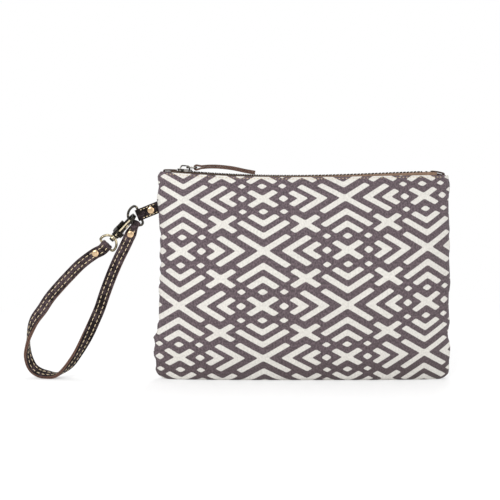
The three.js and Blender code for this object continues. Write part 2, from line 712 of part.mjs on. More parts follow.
// The strap's frame at a distance along the route: its place, its outer side and its width direction.
function strapFrame(distance) {
  const share = THREE.MathUtils.clamp(distance / routeLength, 0, 1);
  const along = route.getTangentAt(share);
  const twist = tableAt(STRAP_TWIST, share) * DEGREE;
  const outward = new THREE.Vector3().crossVectors(along, forward).normalize();
  const facing = forward.clone().multiplyScalar(Math.cos(twist)).addScaledVector(outward, Math.sin(twist));
  const across = new THREE.Vector3().crossVectors(along, facing).normalize();
  return { place: route.getPointAt(share), along, facing, across };
}

function strapHalfWidth(distance) {
  const left = routeLength - distance;
  const share = THREE.MathUtils.smoothstep(left, 0, STRAP_TAPER_LENGTH);
  return THREE.MathUtils.lerp(STRAP_RING_END_WIDTH, STRAP_WIDTH, share) / 2;
}

// One row of the strap across its width, lifted from the route by a level.
function strapRow(distance, level) {
  const { place, facing, across } = strapFrame(distance);
  const half = strapHalfWidth(distance);
  return [-half, half].map((aside) => place.clone()
    .addScaledVector(facing, level)
    .addScaledVector(across, aside));
}

// Rows of a bend that carries the outer layer round a bar, from the outer side to the back.
function bendRows(distance, sign, offset, shift) {
  const { place, along, facing, across } = strapFrame(distance);
  const half = strapHalfWidth(distance);
  const radius = foldRadius + offset;
  const steps = 8;
  const rows = [];
  for (let step = 0; step <= steps; step += 1) {
    const turn = (90 - (step / steps) * 180) * DEGREE;
    const centre = place.clone()
      .addScaledVector(along, sign * (shift + radius * Math.cos(turn)))
      .addScaledVector(facing, radius * Math.sin(turn));
    rows.push([-half, half].map((aside) => centre.clone().addScaledVector(across, aside)));
  }
  return rows;
}

const strapStations = Array.from(
  { length: STRAP_STEPS + 1 },
  (_, step) => BEND_EASE + ((routeLength - 2 * BEND_EASE) * step) / STRAP_STEPS,
);

// The outer layer: a return leg behind, the bend, the whole loop, the other bend and its return leg.
function outerLayerRows(offset) {
  const front = LEATHER_LAYER / 2 + LAYER_GAP + offset;
  const back = -front;
  const startLeg = strapStations.slice(0, RETURN_STEPS + 1).reverse();
  const endLeg = strapStations.slice(-RETURN_STEPS - 1).reverse();
  return [
    ...startLeg.map((distance) => strapRow(distance, back)),
    ...bendRows(0, -1, offset, 0).reverse(),
    ...strapStations.map((distance) => strapRow(distance, front)),
    ...bendRows(routeLength, 1, offset, RING_FOLD_SHIFT),
    ...endLeg.map((distance) => strapRow(distance, back)),
  ];
}

function innerLayerRows(level) {
  return strapStations.map((distance) => strapRow(distance, level));
}

function buildStrap() {
  const eyeRivet = strapFrame(EYE_RIVET_AT);
  const ringRivet = strapFrame(routeLength - RING_RIVET_AT);
  const front = 1.5 * LEATHER_LAYER + LAYER_GAP;
  const stack = 3 * LEATHER_LAYER + 2 * LAYER_GAP;
  const fronts = [eyeRivet, ringRivet].map(
    ({ place, facing }) => place.clone().addScaledVector(facing, front),
  );
  const holes = [rivetHole(fronts[0], eyeRivet.facing), rivetHole(fronts[1], ringRivet.facing)];
  const outer = sheet(outerLayerRows(LEATHER_LAYER), outerLayerRows(0));
  const inner = sheet(innerLayerRows(LEATHER_LAYER / 2), innerLayerRows(-LEATHER_LAYER / 2));
  add('strap_outer', cut(outer, ...holes), darkLeather);
  add('strap_inner', cut(inner, ...holes), brownLeather);
  add('eye_end_rivet', rivet(fronts[0], eyeRivet.facing, stack), rivetMetal);
  add('ring_end_rivet', rivet(fronts[1], ringRivet.facing, stack), rivetMetal);
}

// Zip: everything along it is made straight and then lowered onto the zip's curve.
function layOnZip(geometry) {
  const position = geometry.attributes.position;
  for (let i = 0; i < position.count; i += 1) {
    position.setZ(i, position.getZ(i) + zipTop(position.getX(i)));
  }
  return geometry;
}

// One row of teeth clamped on its bead, as one solid.
function toothRow(side) {
  const steps = 24;
  const stations = Array.from(
    { length: steps + 1 },
    (_, step) => CHAIN_START_X + ((CHAIN_END_X - CHAIN_START_X) * step) / steps,
  );
  const bead = (level) => stations.map((x) => [BEAD_INNER_Y, BEAD_OUTER_Y].map(
    (y) => new THREE.Vector3(x, side * y, zipTop(x) + level),
  ));
  const shift = side > 0 ? TOOTH_PITCH / 2 : 0;
  const count = Math.floor((CHAIN_END_X - CHAIN_START_X - shift - TOOTH_WIDTH) / TOOTH_PITCH);
  const ends = [-side * TOOTH_REACH, side * (BEAD_INNER_Y + BEAD_OUTER_Y) / 2].sort((a, b) => a - b);
  const teeth = Array.from({ length: count }, (_, tooth) => {
    const start = CHAIN_START_X + shift + (tooth + 0.3) * TOOTH_PITCH;
    const corner = [start, ends[0], TOOTH_SINK - CHAIN_THICKNESS];
    return layOnZip(block(corner, [start + TOOTH_WIDTH, ends[1], -TOOTH_SINK]));
  });
  return join(sheet(bead(0), bead(-CHAIN_THICKNESS)), ...teeth);
}

function zipTape(side) {
  const half = TAPE_THICKNESS / 2;
  const steps = 16;
  const grid = (offset) => Array.from({ length: steps + 1 }, (_, step) => {
    const x = TAPE_START_X + ((TAPE_END_X - TAPE_START_X) * step) / steps;
    const level = zipTop(x) - CHAIN_THICKNESS / 2;
    const across = (x - BAG_CENTRE_X) / BAG_HALF_WIDTH;
    const hem = 1 - TAPE_HEM / canvasTop(x);
    const mouth = wallPoint(1, across, 1, TAPE_INSET, 0).depth;
    const low = wallPoint(hem, across, 1, TAPE_INSET, 0).depth;
    return [
      new THREE.Vector3(x, side * (BEAD_OUTER_Y + STOP_GAP), level - offset),
      new THREE.Vector3(x, side * (mouth - TAPE_SHOULDER - offset), level - TAPE_SLOPE - offset),
      new THREE.Vector3(x, side * (mouth - offset), level - TAPE_SLOPE - 2 * TAPE_SHOULDER - offset),
      new THREE.Vector3(x, side * (low - offset), canvasTop(x) - TAPE_HEM),
    ];
  });
  return sheet(grid(-half), grid(half));
}

function block(from, to) {
  const size = from.map((low, axis) => to[axis] - low);
  const geometry = new THREE.BoxGeometry(...size);
  geometry.translate(...from.map((low, axis) => (low + to[axis]) / 2));
  return geometry;
}

// A leather piece folded over the end of the tapes, drooping towards the corner of the pouch.
function zipEnd(side) {
  const innerX = side > 0 ? ZIP_END_RIGHT_X : ZIP_END_LEFT_X;
  const endDroop = side < 0 ? ZIP_END_DROOP_LEFT : ZIP_END_DROOP;
  const droop = (share) => endDroop * share * share;
  const steps = 8;
  const leatherLeg = (share) => Math.min(share, 1 - ZIP_END_LEATHER / ZIP_END_LENGTH);
  const at = (share, level) => [innerX + side * ZIP_END_LENGTH * share, level - droop(share)];
  const bottom = ZIP_END_TOP - ZIP_END_DEPTH;
  const shares = Array.from({ length: steps + 1 }, (_, step) => step / steps);
  const back = [...shares].reverse();
  const outline = [
    ...shares.map((share) => at(share, ZIP_END_TOP)),
    ...back.map((share) => at(share, bottom)),
    ...shares.map((share) => at(leatherLeg(share), bottom + ZIP_END_LEATHER)).slice(0, -1),
    ...back.map((share) => at(leatherLeg(share), ZIP_END_TOP - ZIP_END_LEATHER)).slice(1),
  ];
  const shape = new THREE.Shape(outline.map(([x, z]) => new THREE.Vector2(x, z)));
  const width = 2 * ZIP_END_HALF_WIDTH;
  const geometry = new THREE.ExtrudeGeometry(shape, { depth: width, bevelEnabled: false });
  geometry.rotateX(90 * DEGREE);
  geometry.translate(0, width / 2, 0);
  return layOnZip(geometry);
}

function buildZip() {
  for (const [word, side] of [['front', -1], ['back', 1]]) {
    add(`zip_teeth_${word}`, toothRow(side), zipMetal);
    add(`zip_tape_${word}`, zipTape(side), tape);
    const stopEnd = CHAIN_START_X - STOP_GAP;
    const lowAcross = side > 0 ? WEDGE_HALF_WIDTH + STOP_GAP : -BEAD_OUTER_Y;
    const low = [stopEnd - STOP_LENGTH, lowAcross, -CHAIN_THICKNESS];
    const high = [stopEnd, side > 0 ? BEAD_OUTER_Y : -WEDGE_HALF_WIDTH - STOP_GAP, 0];
    add(`zip_top_stop_${word}`, layOnZip(block(low, high)), zipMetal);
  }
  const bottomStop = block(
    [CHAIN_END_X + STOP_GAP, -BEAD_OUTER_Y, -CHAIN_THICKNESS - 0.2],
    [CHAIN_END_X + STOP_GAP + STOP_LENGTH * 0.7, BEAD_OUTER_Y, 0.2],
  );
  add('zip_bottom_stop', layOnZip(bottomStop), zipMetal);
  add('zip_end_left', zipEnd(-1), darkLeather);
  add('zip_end_right', zipEnd(1), darkLeather);
}

// Slider, in its own axes: x along the zip, z up from the top of the teeth.
const sliderTop = SLIDER_CLEARANCE + SLIDER_PLATE;

function zipSlider() {
  const half = SLIDER_LENGTH / 2;
  const lowTop = -CHAIN_THICKNESS - SLIDER_CLEARANCE;
  const outline = new THREE.Shape();
  outline.moveTo(-half, -SLIDER_HALF_WIDTH + 0.8);
  outline.quadraticCurveTo(-half, -SLIDER_HALF_WIDTH, -half + 1.6, -SLIDER_HALF_WIDTH);
  outline.lineTo(half * 0.35, -SLIDER_HALF_WIDTH);
  outline.lineTo(half, -SLIDER_HALF_WIDTH + 0.9);
  outline.lineTo(half, SLIDER_HALF_WIDTH - 0.9);
  outline.lineTo(half * 0.35, SLIDER_HALF_WIDTH);
  outline.lineTo(-half + 1.6, SLIDER_HALF_WIDTH);
  outline.quadraticCurveTo(-half, SLIDER_HALF_WIDTH, -half, SLIDER_HALF_WIDTH - 0.8);
  const slab = (bottom) => {
    const geometry = new THREE.ExtrudeGeometry(
      outline, { depth: SLIDER_PLATE, bevelEnabled: false, curveSegments: 4 },
    );
    geometry.translate(0, 0, bottom);
    return geometry;
  };
  const flanges = [];
  for (const side of [-1, 1]) {
    const inner = side * (SLIDER_HALF_WIDTH - SLIDER_FLANGE);
    const outer = side * SLIDER_HALF_WIDTH;
    const [lowY, highY] = inner < outer ? [inner, outer] : [outer, inner];
    const start = -half + 1.8;
    const end = half * 0.35;
    const topFlange = [SLIDER_CLEARANCE - SLIDER_FLANGE_DROP, SLIDER_CLEARANCE + 0.2];
    const lowFlange = [lowTop - 0.2, lowTop + SLIDER_FLANGE_DROP * 0.5];
    flanges.push(block([start, lowY, topFlange[0]], [end, highY, topFlange[1]]));
    flanges.push(block([start, lowY, lowFlange[0]], [end, highY, lowFlange[1]]));
  }
  const wedgeShape = new THREE.Shape();
  wedgeShape.moveTo(-half + 0.4, 0.9);
  wedgeShape.lineTo(-half + 0.4, -0.9);
  wedgeShape.lineTo(-half + WEDGE_LENGTH * 0.5, -WEDGE_HALF_WIDTH);
  wedgeShape.lineTo(-half + WEDGE_LENGTH, 0);
  wedgeShape.lineTo(-half + WEDGE_LENGTH * 0.5, WEDGE_HALF_WIDTH);
  const wedgeDepth = CHAIN_THICKNESS + 2 * SLIDER_CLEARANCE + 0.4;
  const wedge = new THREE.ExtrudeGeometry(wedgeShape, { depth: wedgeDepth, bevelEnabled: false });
  wedge.translate(0, 0, lowTop - 0.2);
  return join(slab(SLIDER_CLEARANCE), slab(lowTop - SLIDER_PLATE), wedge, ...flanges, sliderBridge());
}

// The bridge on the slider's back that holds the link: an arch with an open way under it.
function sliderBridge() {
  const half = BRIDGE_LENGTH / 2;
  const foot = sliderTop - 0.3;
  const crown = sliderTop + BRIDGE_HEIGHT;
  const outline = new THREE.Shape();
  outline.moveTo(-half, foot);
  outline.quadraticCurveTo(-half, crown, -half * 0.35, crown);
  outline.lineTo(half * 0.55, crown);
  outline.quadraticCurveTo(half, crown, half, foot);
  outline.lineTo(half - BRIDGE_THICKNESS, foot);
  const under = crown - BRIDGE_THICKNESS;
  outline.quadraticCurveTo(half - BRIDGE_THICKNESS, under, half * 0.45, under);
  outline.lineTo(-half * 0.25, under);
  outline.quadraticCurveTo(-half + BRIDGE_THICKNESS, under, -half + BRIDGE_THICKNESS, foot);
  const settings = { depth: BRIDGE_WIDTH, bevelEnabled: false, curveSegments: 5 };
  const geometry = new THREE.ExtrudeGeometry(outline, settings);
  geometry.rotateX(90 * DEGREE);
  geometry.translate(0, BRIDGE_WIDTH / 2, 0);
  return geometry;
}

const sliderOrigin = plane(SLIDER_REST_X, zipTop(SLIDER_REST_X));
const sliderTilt = Math.atan2(zipTop(SLIDER_REST_X - 1) - zipTop(SLIDER_REST_X + 1), 2);
const linkCentre = sliderOrigin.clone().add(
  plane(BRIDGE_LENGTH / 2 - BRIDGE_THICKNESS + LINK_HALF_LENGTH - 1.4, sliderTop + 1.35),
);

function linkLoop() {
  const loop = [];
  const steps = 20;
  const power = 0.35;
  for (let step = 0; step < steps; step += 1) {
    const turn = (step / steps) * 2 * Math.PI;
    const x = Math.sign(Math.cos(turn)) * Math.abs(Math.cos(turn)) ** power;
    const y = Math.sign(Math.sin(turn)) * Math.abs(Math.sin(turn)) ** power;
    loop.push(linkCentre.clone().add(new THREE.Vector3(LINK_HALF_LENGTH * x, LINK_HALF_WIDTH * y, 0)));
  }
  return loop;
}

// Leather pull: a strip folded through the link and sewn flat on itself, arching along the zip.
function leatherPull() {
  const bendCentre = linkCentre.clone().add(plane(LINK_HALF_LENGTH + LINK_PLAY, 0));
  const arch = new THREE.CatmullRomCurve3(PULL_ARCH.map(([x, z]) => plane(x, z)), false, 'centripetal');
  const steps = 12;
  const up = (along) => new THREE.Vector3(-along.z, 0, along.x);
  const innerRadius = LINK_WIRE_RADIUS + WIRE_CLEARANCE;
  const rows = (offset) => {
    const line = [];
    const run = (sign) => {
      for (let step = 0; step <= steps; step += 1) {
        const share = sign > 0 ? step / steps : 1 - step / steps;
        const place = arch.getPointAt(share);
        line.push(place.clone().addScaledVector(up(arch.getTangentAt(share)), sign * (legHalf + offset)));
      }
    };
    run(-1);
    const bendSteps = 8;
    for (let step = 0; step <= bendSteps; step += 1) {
      const turn = (-90 - (step / bendSteps) * 180) * DEGREE;
      const radius = innerRadius + offset;
      line.push(bendCentre.clone().add(plane(radius * Math.cos(turn), radius * Math.sin(turn))));
    }
    run(1);
    return line;
  };
  return strip(rows(PULL_LAYER), rows(0), new THREE.Vector3(0, 1, 0), PULL_WIDTH);
}

function buildSlider() {
  const slider = zipSlider();
  slider.rotateY(sliderTilt);
  slider.translate(sliderOrigin.x, 0, sliderOrigin.z);
  add('zip_slider', slider, zipMetal);
  add('zip_pull_link', hoop(linkLoop(), new THREE.Vector3(0, 0, 1), LINK_WIRE_RADIUS, 8), zipMetal);
  add('zip_pull', leatherPull(), brownLeather);
}

buildBody();
buildZip();
buildSlider();
buildTab();
buildRing();
buildHook();
buildEye();
buildStrap();

export default pouch;
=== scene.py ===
import math

import bmesh
import bpy
from mathutils import Matrix, Vector, noise


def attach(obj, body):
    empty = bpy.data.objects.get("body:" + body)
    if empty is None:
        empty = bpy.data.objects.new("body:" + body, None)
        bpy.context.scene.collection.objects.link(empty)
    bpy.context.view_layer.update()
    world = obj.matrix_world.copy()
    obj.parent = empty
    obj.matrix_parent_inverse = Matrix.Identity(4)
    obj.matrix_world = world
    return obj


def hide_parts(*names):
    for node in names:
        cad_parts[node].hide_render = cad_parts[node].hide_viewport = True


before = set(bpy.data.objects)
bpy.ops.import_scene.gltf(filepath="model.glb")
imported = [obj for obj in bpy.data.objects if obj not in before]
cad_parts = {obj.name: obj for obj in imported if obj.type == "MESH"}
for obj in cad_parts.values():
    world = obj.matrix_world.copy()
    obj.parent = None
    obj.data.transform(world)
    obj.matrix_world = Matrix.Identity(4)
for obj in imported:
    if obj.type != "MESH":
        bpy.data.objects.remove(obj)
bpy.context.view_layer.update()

bl_info = {
    "name": "Zipped canvas pouch",
    "version": (1, 0, 0),
    "blender": (4, 5, 0),
    "location": "3D View > Sidebar > Pouch",
    "description": "Makes the visible pieces of a printed canvas pouch with a leather wrist strap",
    "category": "Add Mesh",
}

# All shapes are worked out in millimetres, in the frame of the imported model, and written in metres.
MM = 0.001
FORWARD = Vector((0, -1, 0))
UP = Vector((0, 0, 1))

# Pouch body
BAG_CENTRE_X = 1.3
BAG_HALF_WIDTH = 124.5
BAG_FOOT_SPREAD = 2.6
BASE_HALF_DEPTH = 10
BASE_CORNER_RADIUS = 4
BAG_BULGE = 5.2
MOUTH_HALF_DEPTH = 6.6
BOTTOM_CORNER_RADIUS = 11
EDGE_POWER_LOW = 3.2
EDGE_POWER_HIGH = 14
LINING_INSET = 2.15
LINING_THICKNESS = 0.5
LINING_TOP_DROP = 3.4
PANEL_GAP = 0.3
SEAM_BEHIND_CENTRE = 5
# How far each side seam stands to the right of its straight line, by the share of the height
SIDE_WAVE_LEFT = ((0, -0.6), (0.15, -2.2), (0.3, -0.4), (0.5, 1.2), (0.7, 1.9), (0.88, -1.2), (1, 1.4))
SIDE_WAVE_RIGHT = ((0, 0.2), (0.15, 0.8), (0.45, 1.2), (0.6, 0.2), (0.8, -1.1), (0.93, -1.8), (1, -2))
SIDE_WAVE_POWER = 6
# How far the canvas bulges to the right beside each seam, by the height
SEAM_BULGES_LEFT = (
    (0, -1.6), (3, -2.2), (7, -1.4), (12, -0.3), (16, -0.5), (20.5, -2.2), (24, -2.2), (26.5, -1.4),
    (30, -0.5), (34, -1), (36.5, -2.2), (39, -0.2), (42, 0.9), (48, 0.5), (51, 1.5), (56, 0.7),
    (62, 0.6), (66, 0.5), (72, 0.6), (77, -0.5), (81, -0.8), (84, 0.4), (88, -0.8), (92, 0.6),
    (96, -0.6), (102, 0.8), (106, -0.8), (110, -0.9), (114, -0.2), (121, -0.9), (126, 0), (131, -1.2),
    (139, -0.9), (146, 0), (158, -0.3), (162, 0.6), (167, 0.8), (171, -0.8), (176, -1.8), (178, -0.9),
    (180, 0.6),
)
SEAM_BULGES_RIGHT = (
    (0, 1.6), (4, 1.2), (8, 0), (14, -0.4), (22, 0.5), (28, 0.6), (32, 0), (36, -1.2),
    (40, -1.6), (44, -0.8), (50, 0.2), (56, -0.4), (64, -0.9), (74, -0.9), (79, -0.1), (84, 0.4),
    (90, 0.1), (100, 0.1), (108, 0), (114, 0.7), (120, 0.8), (124, 0.2), (130, 1.1), (138, 0.8),
    (146, 0.3), (154, 0.4), (160, 0.9), (164, 1.7), (169, 1.6), (174, 0.6), (180, -0.3),
)
SEAM_BULGE_POWER = 24
CANVAS_TOP_MIDDLE = 174
CANVAS_TOP_RISE = 4.3
CANVAS_TOP_TILT = -1.7
MOUTH_SWELL = 1.1
SWELL_PAST_ZIP = 19.5
FOLD_DEPTH = 0.75
CREASE_DEPTH = 0.22
PUCKER_DEPTH = 0.3
PUCKER_BAND = 0.14
PANEL_BASE_ROWS = 6
PANEL_CORNER_ROWS = 6
PANEL_WALL_ROWS = 84
PANEL_COLUMNS = 180
TOP_STITCH_HALF_RUN = 119
TOP_STITCH_PITCH = 3.0
TOP_STITCH_BELOW_EDGE = 1.5
TOP_STITCH_LENGTH = 2.1
TOP_STITCH_RADIUS = 0.28

# Zip
ZIP_MIDDLE_Z = 175.4
ZIP_RISE = 4.3
ZIP_TILT = -0.95
ZIP_HALF_LENGTH = 105
CHAIN_START_X = -98.5
CHAIN_END_X = 104.5
TOOTH_PITCH = 3.0
TOOTH_WIDTH = 1.2
TOOTH_START = 0.3
JAW_PLACE = (0, 1.6, 0.2)
JAW_SIZE = (TOOTH_WIDTH, 1.5, 2.4)
TOOTH_HEAD_PLACE = (0, 0.2, 0)
TOOTH_HEAD_SIZE = (1.1, 1.7, 1.5)
TOOTH_BEVEL = 0.22
BEAD_Y = 1.75
BEAD_RADIUS = 0.62
BEAD_STEPS = 100
CHAIN_THICKNESS = 2.0
TAPE_THICKNESS = 0.5
TAPE_INSET = 1.6
TAPE_SHOULDER = 0.55
TAPE_SLOPE = 0.34
TAPE_HEM = 6
TAPE_WIDTH = 11
TAPE_COLUMNS = 120
TAPE_ROWS = 18
TAPE_START_X = -112.5
TAPE_END_X = 113.5
ZIP_END_LEFT_X = -107.5
ZIP_END_RIGHT_X = 109.3
ZIP_END_LENGTH = 11.5
ZIP_END_WIDTH = 4.8
ZIP_END_LEATHER = 1.4
ZIP_END_DEPTH = 3.2
ZIP_END_DROOP_LEFT = 0.9
ZIP_END_DROOP = 2.4
ZIP_END_TOP = 0.5
ZIP_END_STITCH_FROM_EDGE = 1.7
ZIP_END_STITCH_LENGTH = 1.3
ZIP_END_STITCH_RADIUS = 0.24

# Leather pull
SLIDER_REST_X = -100.6
LINK_CENTRE_ABOVE = 2.85
LINK_CENTRE_AHEAD = 6.0
LINK_HALF_LENGTH = 4.0
LINK_HALF_WIDTH = 3.6
LINK_WIRE_RADIUS = 0.75
LINK_PLAY = 0.06
LINK_POWER = 0.35
LINK_STEPS = 56
PULL_WIDTH = 5
PULL_LAYER = 1.6
PULL_HALF_GAP = 0.06
PULL_STEPS = 44
PULL_ARCH = ((-86.4, 183.4), (-80, 183.9), (-72, 183.8), (-60, 182.5), (-49, 180.2), (-40.6, 178.7))

# Ring, tab and rivets
RING_WIRE_RADIUS = 1.05
RING_RADIUS = 8.6
RING_STRAIGHT = 1.7
RING_CORNER = 2.4
RING_CENTRE = Vector((-141, 0, 142.2))
RING_BULGE_ANGLE = 202.3
LAYER_GAP = 0.2
WIRE_CLEARANCE = 0.3
TAB_WIDTH = 10
TAB_INSIDE_BAG = 5
TAB_RIVET_FROM_BAR = 10.4
TAB_EASE = 5.0
TAB_STITCH_START = 2.6
TAB_STITCH_PITCH = 2.9
TAB_STITCH_COUNT = 5
TAB_STITCH_FROM_EDGE = 1.4
TAB_STITCH_RAISE = 0.06
TAB_STITCH_LENGTH = 1.9
TAB_STITCH_RADIUS = 0.33
RIVET_POST_RADIUS = 1.2
RIVET_CAP_RADIUS = 3.1
RIVET_CAP_HEIGHT = 1.2
RIVET_BACK_RADIUS = 2.7
RIVET_BACK_HEIGHT = 0.7
RIVET_SEAT_GAP = 0.05

# Hook and eye
HOOK_COLLAR = Vector((-161, 0, 124.3))
HOOK_ANGLE = 46.5
SWIVEL_CLEARANCE = 0.1
EYE_WIRE_RADIUS = 1.1
EYE_RADIUS = 7.5
EYE_STRAIGHT = 1.95
EYE_BOSS_HEIGHT = 3.1
# Bands of the hook's painted highlight streak along its left side and of the painted glint on its knob,
# from the collar along it and aside
HIGHLIGHT_ALONG = (1.5, 19.5)
HIGHLIGHT_ASIDE = (-0.5, 0.5)
GLINT_ALONG = (12.6, 15.2)
GLINT_ASIDE = (-3.9, -1.6)

# Wrist strap
STRAP_RING_END_WIDTH = 6.2
STRAP_TAPER_LENGTH = 9
RING_FOLD_ANGLE = -106
RING_FOLD_HEADING = -119
RING_FOLD_SHIFT = 1.4
STRAIGHT_AT_FOLD = 5
BEND_EASE = 6
RETURN_LENGTH = 12
EYE_RIVET_AT = 11.4
RING_RIVET_AT = 8.6
RETURN_START = 0.2
STRAP_STEPS = 240
STRAP_COLUMNS = 14
STITCH_ROW = 2.0
STRAP_STITCH_LENGTH = 3.1
STRAP_STITCH_SINK = 0.12
FACE_CROWN = 0.1
STITCH_GROOVE_WIDTH = 0.5
STITCH_GROOVE_DEPTH = 0.28
EDGE_ROUND_WIDTH = 1.6
EDGE_ROUND_DEPTH = 0.3
STRAP_ROUTE = (
    (-178.1, 109.5), (-189.7, 101), (-200.1, 90.6), (-209.8, 80.2), (-218, 70.5), (-224.1, 61.3),
    (-231.2, 51.2), (-235.2, 40.2), (-237.4, 28.3), (-237.2, 18.8), (-233.6, 9.6), (-228.1, 5.5),
    (-221.4, 3.9), (-214.6, 3.5), (-208.8, 6.6), (-202.2, 12.5), (-194.5, 23.4), (-185.7, 38.8),
    (-179.5, 51.5), (-174.7, 62.4), (-170.8, 73.3), (-166.7, 84.2), (-162.2, 95.1), (-157.1, 106.3),
    (-152.1, 116.2),
)
STRAP_TWIST = (
    (0, 0), (0.06, 0), (0.14, 12), (0.25, 20), (0.45, 124), (0.575, 54),
    (0.72, 8), (0.8, -4), (0.88, -8), (0.94, 0), (1, 0),
)

# Print: one quarter of the repeat, in millimetres from the middle of a large cross
PRINT_SCALE = 0.843
PRINT_CROSS = Vector((-103.0, 0, 157.85))
PRINT_QUARTER_WIDTH = 69.8
PRINT_QUARTER_HEIGHT = 45.05

# How far the printed cloth is pulled off its straight repeat, in millimetres, as a cubic of the place
PRINT_MIDDLE_Z = 85
PRINT_DRIFT_ACROSS = (-0.56, -3.81, -1.04, 1.48, 2.25, 0.72, 2.79, -2.05, 3.66, 5.23)
PRINT_DRIFT_UP = (0.84, -1.16, -5.52, -1.12, 0.27, 0.27, -0.54, 1.04, -0.69, 8.72)


class PouchSizes(bpy.types.PropertyGroup):
    """Sizes that a user would change."""

    canvas_thickness: bpy.props.FloatProperty(
        name="Canvas thickness", description="Thickness of the printed canvas",
        default=1.0 * MM, unit="LENGTH",
    )
    leather_layer: bpy.props.FloatProperty(
        name="Leather layer", description="Thickness of one layer of leather",
        default=1.4 * MM, unit="LENGTH",
    )
    strap_width: bpy.props.FloatProperty(
        name="Strap width", description="Width of the wrist strap", default=9.6 * MM, unit="LENGTH",
    )
    stitch_pitch: bpy.props.FloatProperty(
        name="Strap stitch pitch", description="From one stitch of the strap to the next",
        default=4.2 * MM, unit="LENGTH",
    )
    thread_radius: bpy.props.FloatProperty(
        name="Thread radius", description="Half the thickness of the leather's thread",
        default=0.36 * MM, unit="LENGTH",
    )


def colour_property(name, description, default):
    return bpy.props.FloatVectorProperty(
        name=name, description=description, default=default, size=3, min=0, max=1, subtype="COLOR",
    )


class PouchColours(bpy.types.PropertyGroup):
    """Colours that a user would change, as linear values."""

    canvas_ground: colour_property("Canvas ground", "Ground of the print", (0.104, 0.075, 0.087))
    canvas_bars: colour_property("Canvas bars", "Unprinted bars", (0.79, 0.765, 0.71))
    lining: colour_property("Lining", "Plain lining", (0.62, 0.55, 0.44))
    zip_tape: colour_property("Zip tape", "Woven tape of the zip", (0.25, 0.155, 0.10))
    dark_leather: colour_property("Dark leather", "Face of the leather", (0.0055, 0.0029, 0.0028))
    worn_leather: colour_property("Worn leather", "Rubbed places of the leather", (0.138, 0.096, 0.106))
    raw_leather: colour_property("Raw leather", "Cut edges of the leather", (0.125, 0.058, 0.036))
    thread: colour_property("Thread", "Thread on the leather", (0.72, 0.59, 0.38))
    top_thread: colour_property("Top thread", "Thread along the mouth", (0.60, 0.47, 0.29))
    dark_metal: colour_property("Dark metal", "Hook and rings", (0.055, 0.05, 0.045))
    # Bright metal also colours the painted highlight streak and the painted glint on the hook.
    bright_metal: colour_property("Bright metal", "Rubbed places of the metal", (0.50, 0.43, 0.29))
    # Zip metal, scaled up, also gives the painted highlights of the slider and link.
    zip_metal: colour_property("Zip metal", "Slider and link", (0.13, 0.122, 0.112))
    rivet: colour_property("Rivet", "Caps of the rivets", (0.86, 0.62, 0.38))


def sizes():
    return bpy.context.scene.pouch_sizes


def colours():
    return bpy.context.scene.pouch_colours


# Shader maths

def opaque(colour):
    return (*colour, 1.0)


def scaled(colour, factor):
    return tuple(min(1.0, part * factor) for part in colour)


class Value:
    """A number that varies over a surface, with its arithmetic written as expressions."""

    def __init__(self, paint, socket):
        self.paint = paint
        self.socket = socket

    def math(self, operation, *others):
        made = self.paint.node("Math", {"operation": operation}, dict(enumerate((self, *others))))
        return Value(self.paint, made.outputs[0])

    def __add__(self, other):
        return self.math("ADD", other)

    __radd__ = __add__

    def __sub__(self, other):
        return self.math("SUBTRACT", other)

    def __rsub__(self, other):
        return (self * -1) + other

    def __mul__(self, other):
        return self.math("MULTIPLY", other)

    __rmul__ = __mul__

    def __abs__(self):
        return self.math("ABSOLUTE")

    def sine(self):
        return self.math("SINE")

    def most(self, other):
        return self.math("MAXIMUM", other)

    def rounded_least(self, other, reach):
        """The smaller of two, with the corner between them rounded over the reach."""
        return self.math("SMOOTH_MIN", other, reach)

    def rounded_size(self, reach):
        """The size without its sign, with the turn at zero rounded over the reach."""
        return self.math("SMOOTH_MAX", self * -1, reach)

    def pingpong(self, length):
        return self.math("PINGPONG", length)

    def between(self, low, high):
        """0 at the low value, 1 at the high one, and held there past them."""
        ramp = self.paint.node("MapRange", {"clamp": True}, {0: self, 1: low, 2: high, 3: 0.0, 4: 1.0})
        return Value(self.paint, ramp.outputs[0])


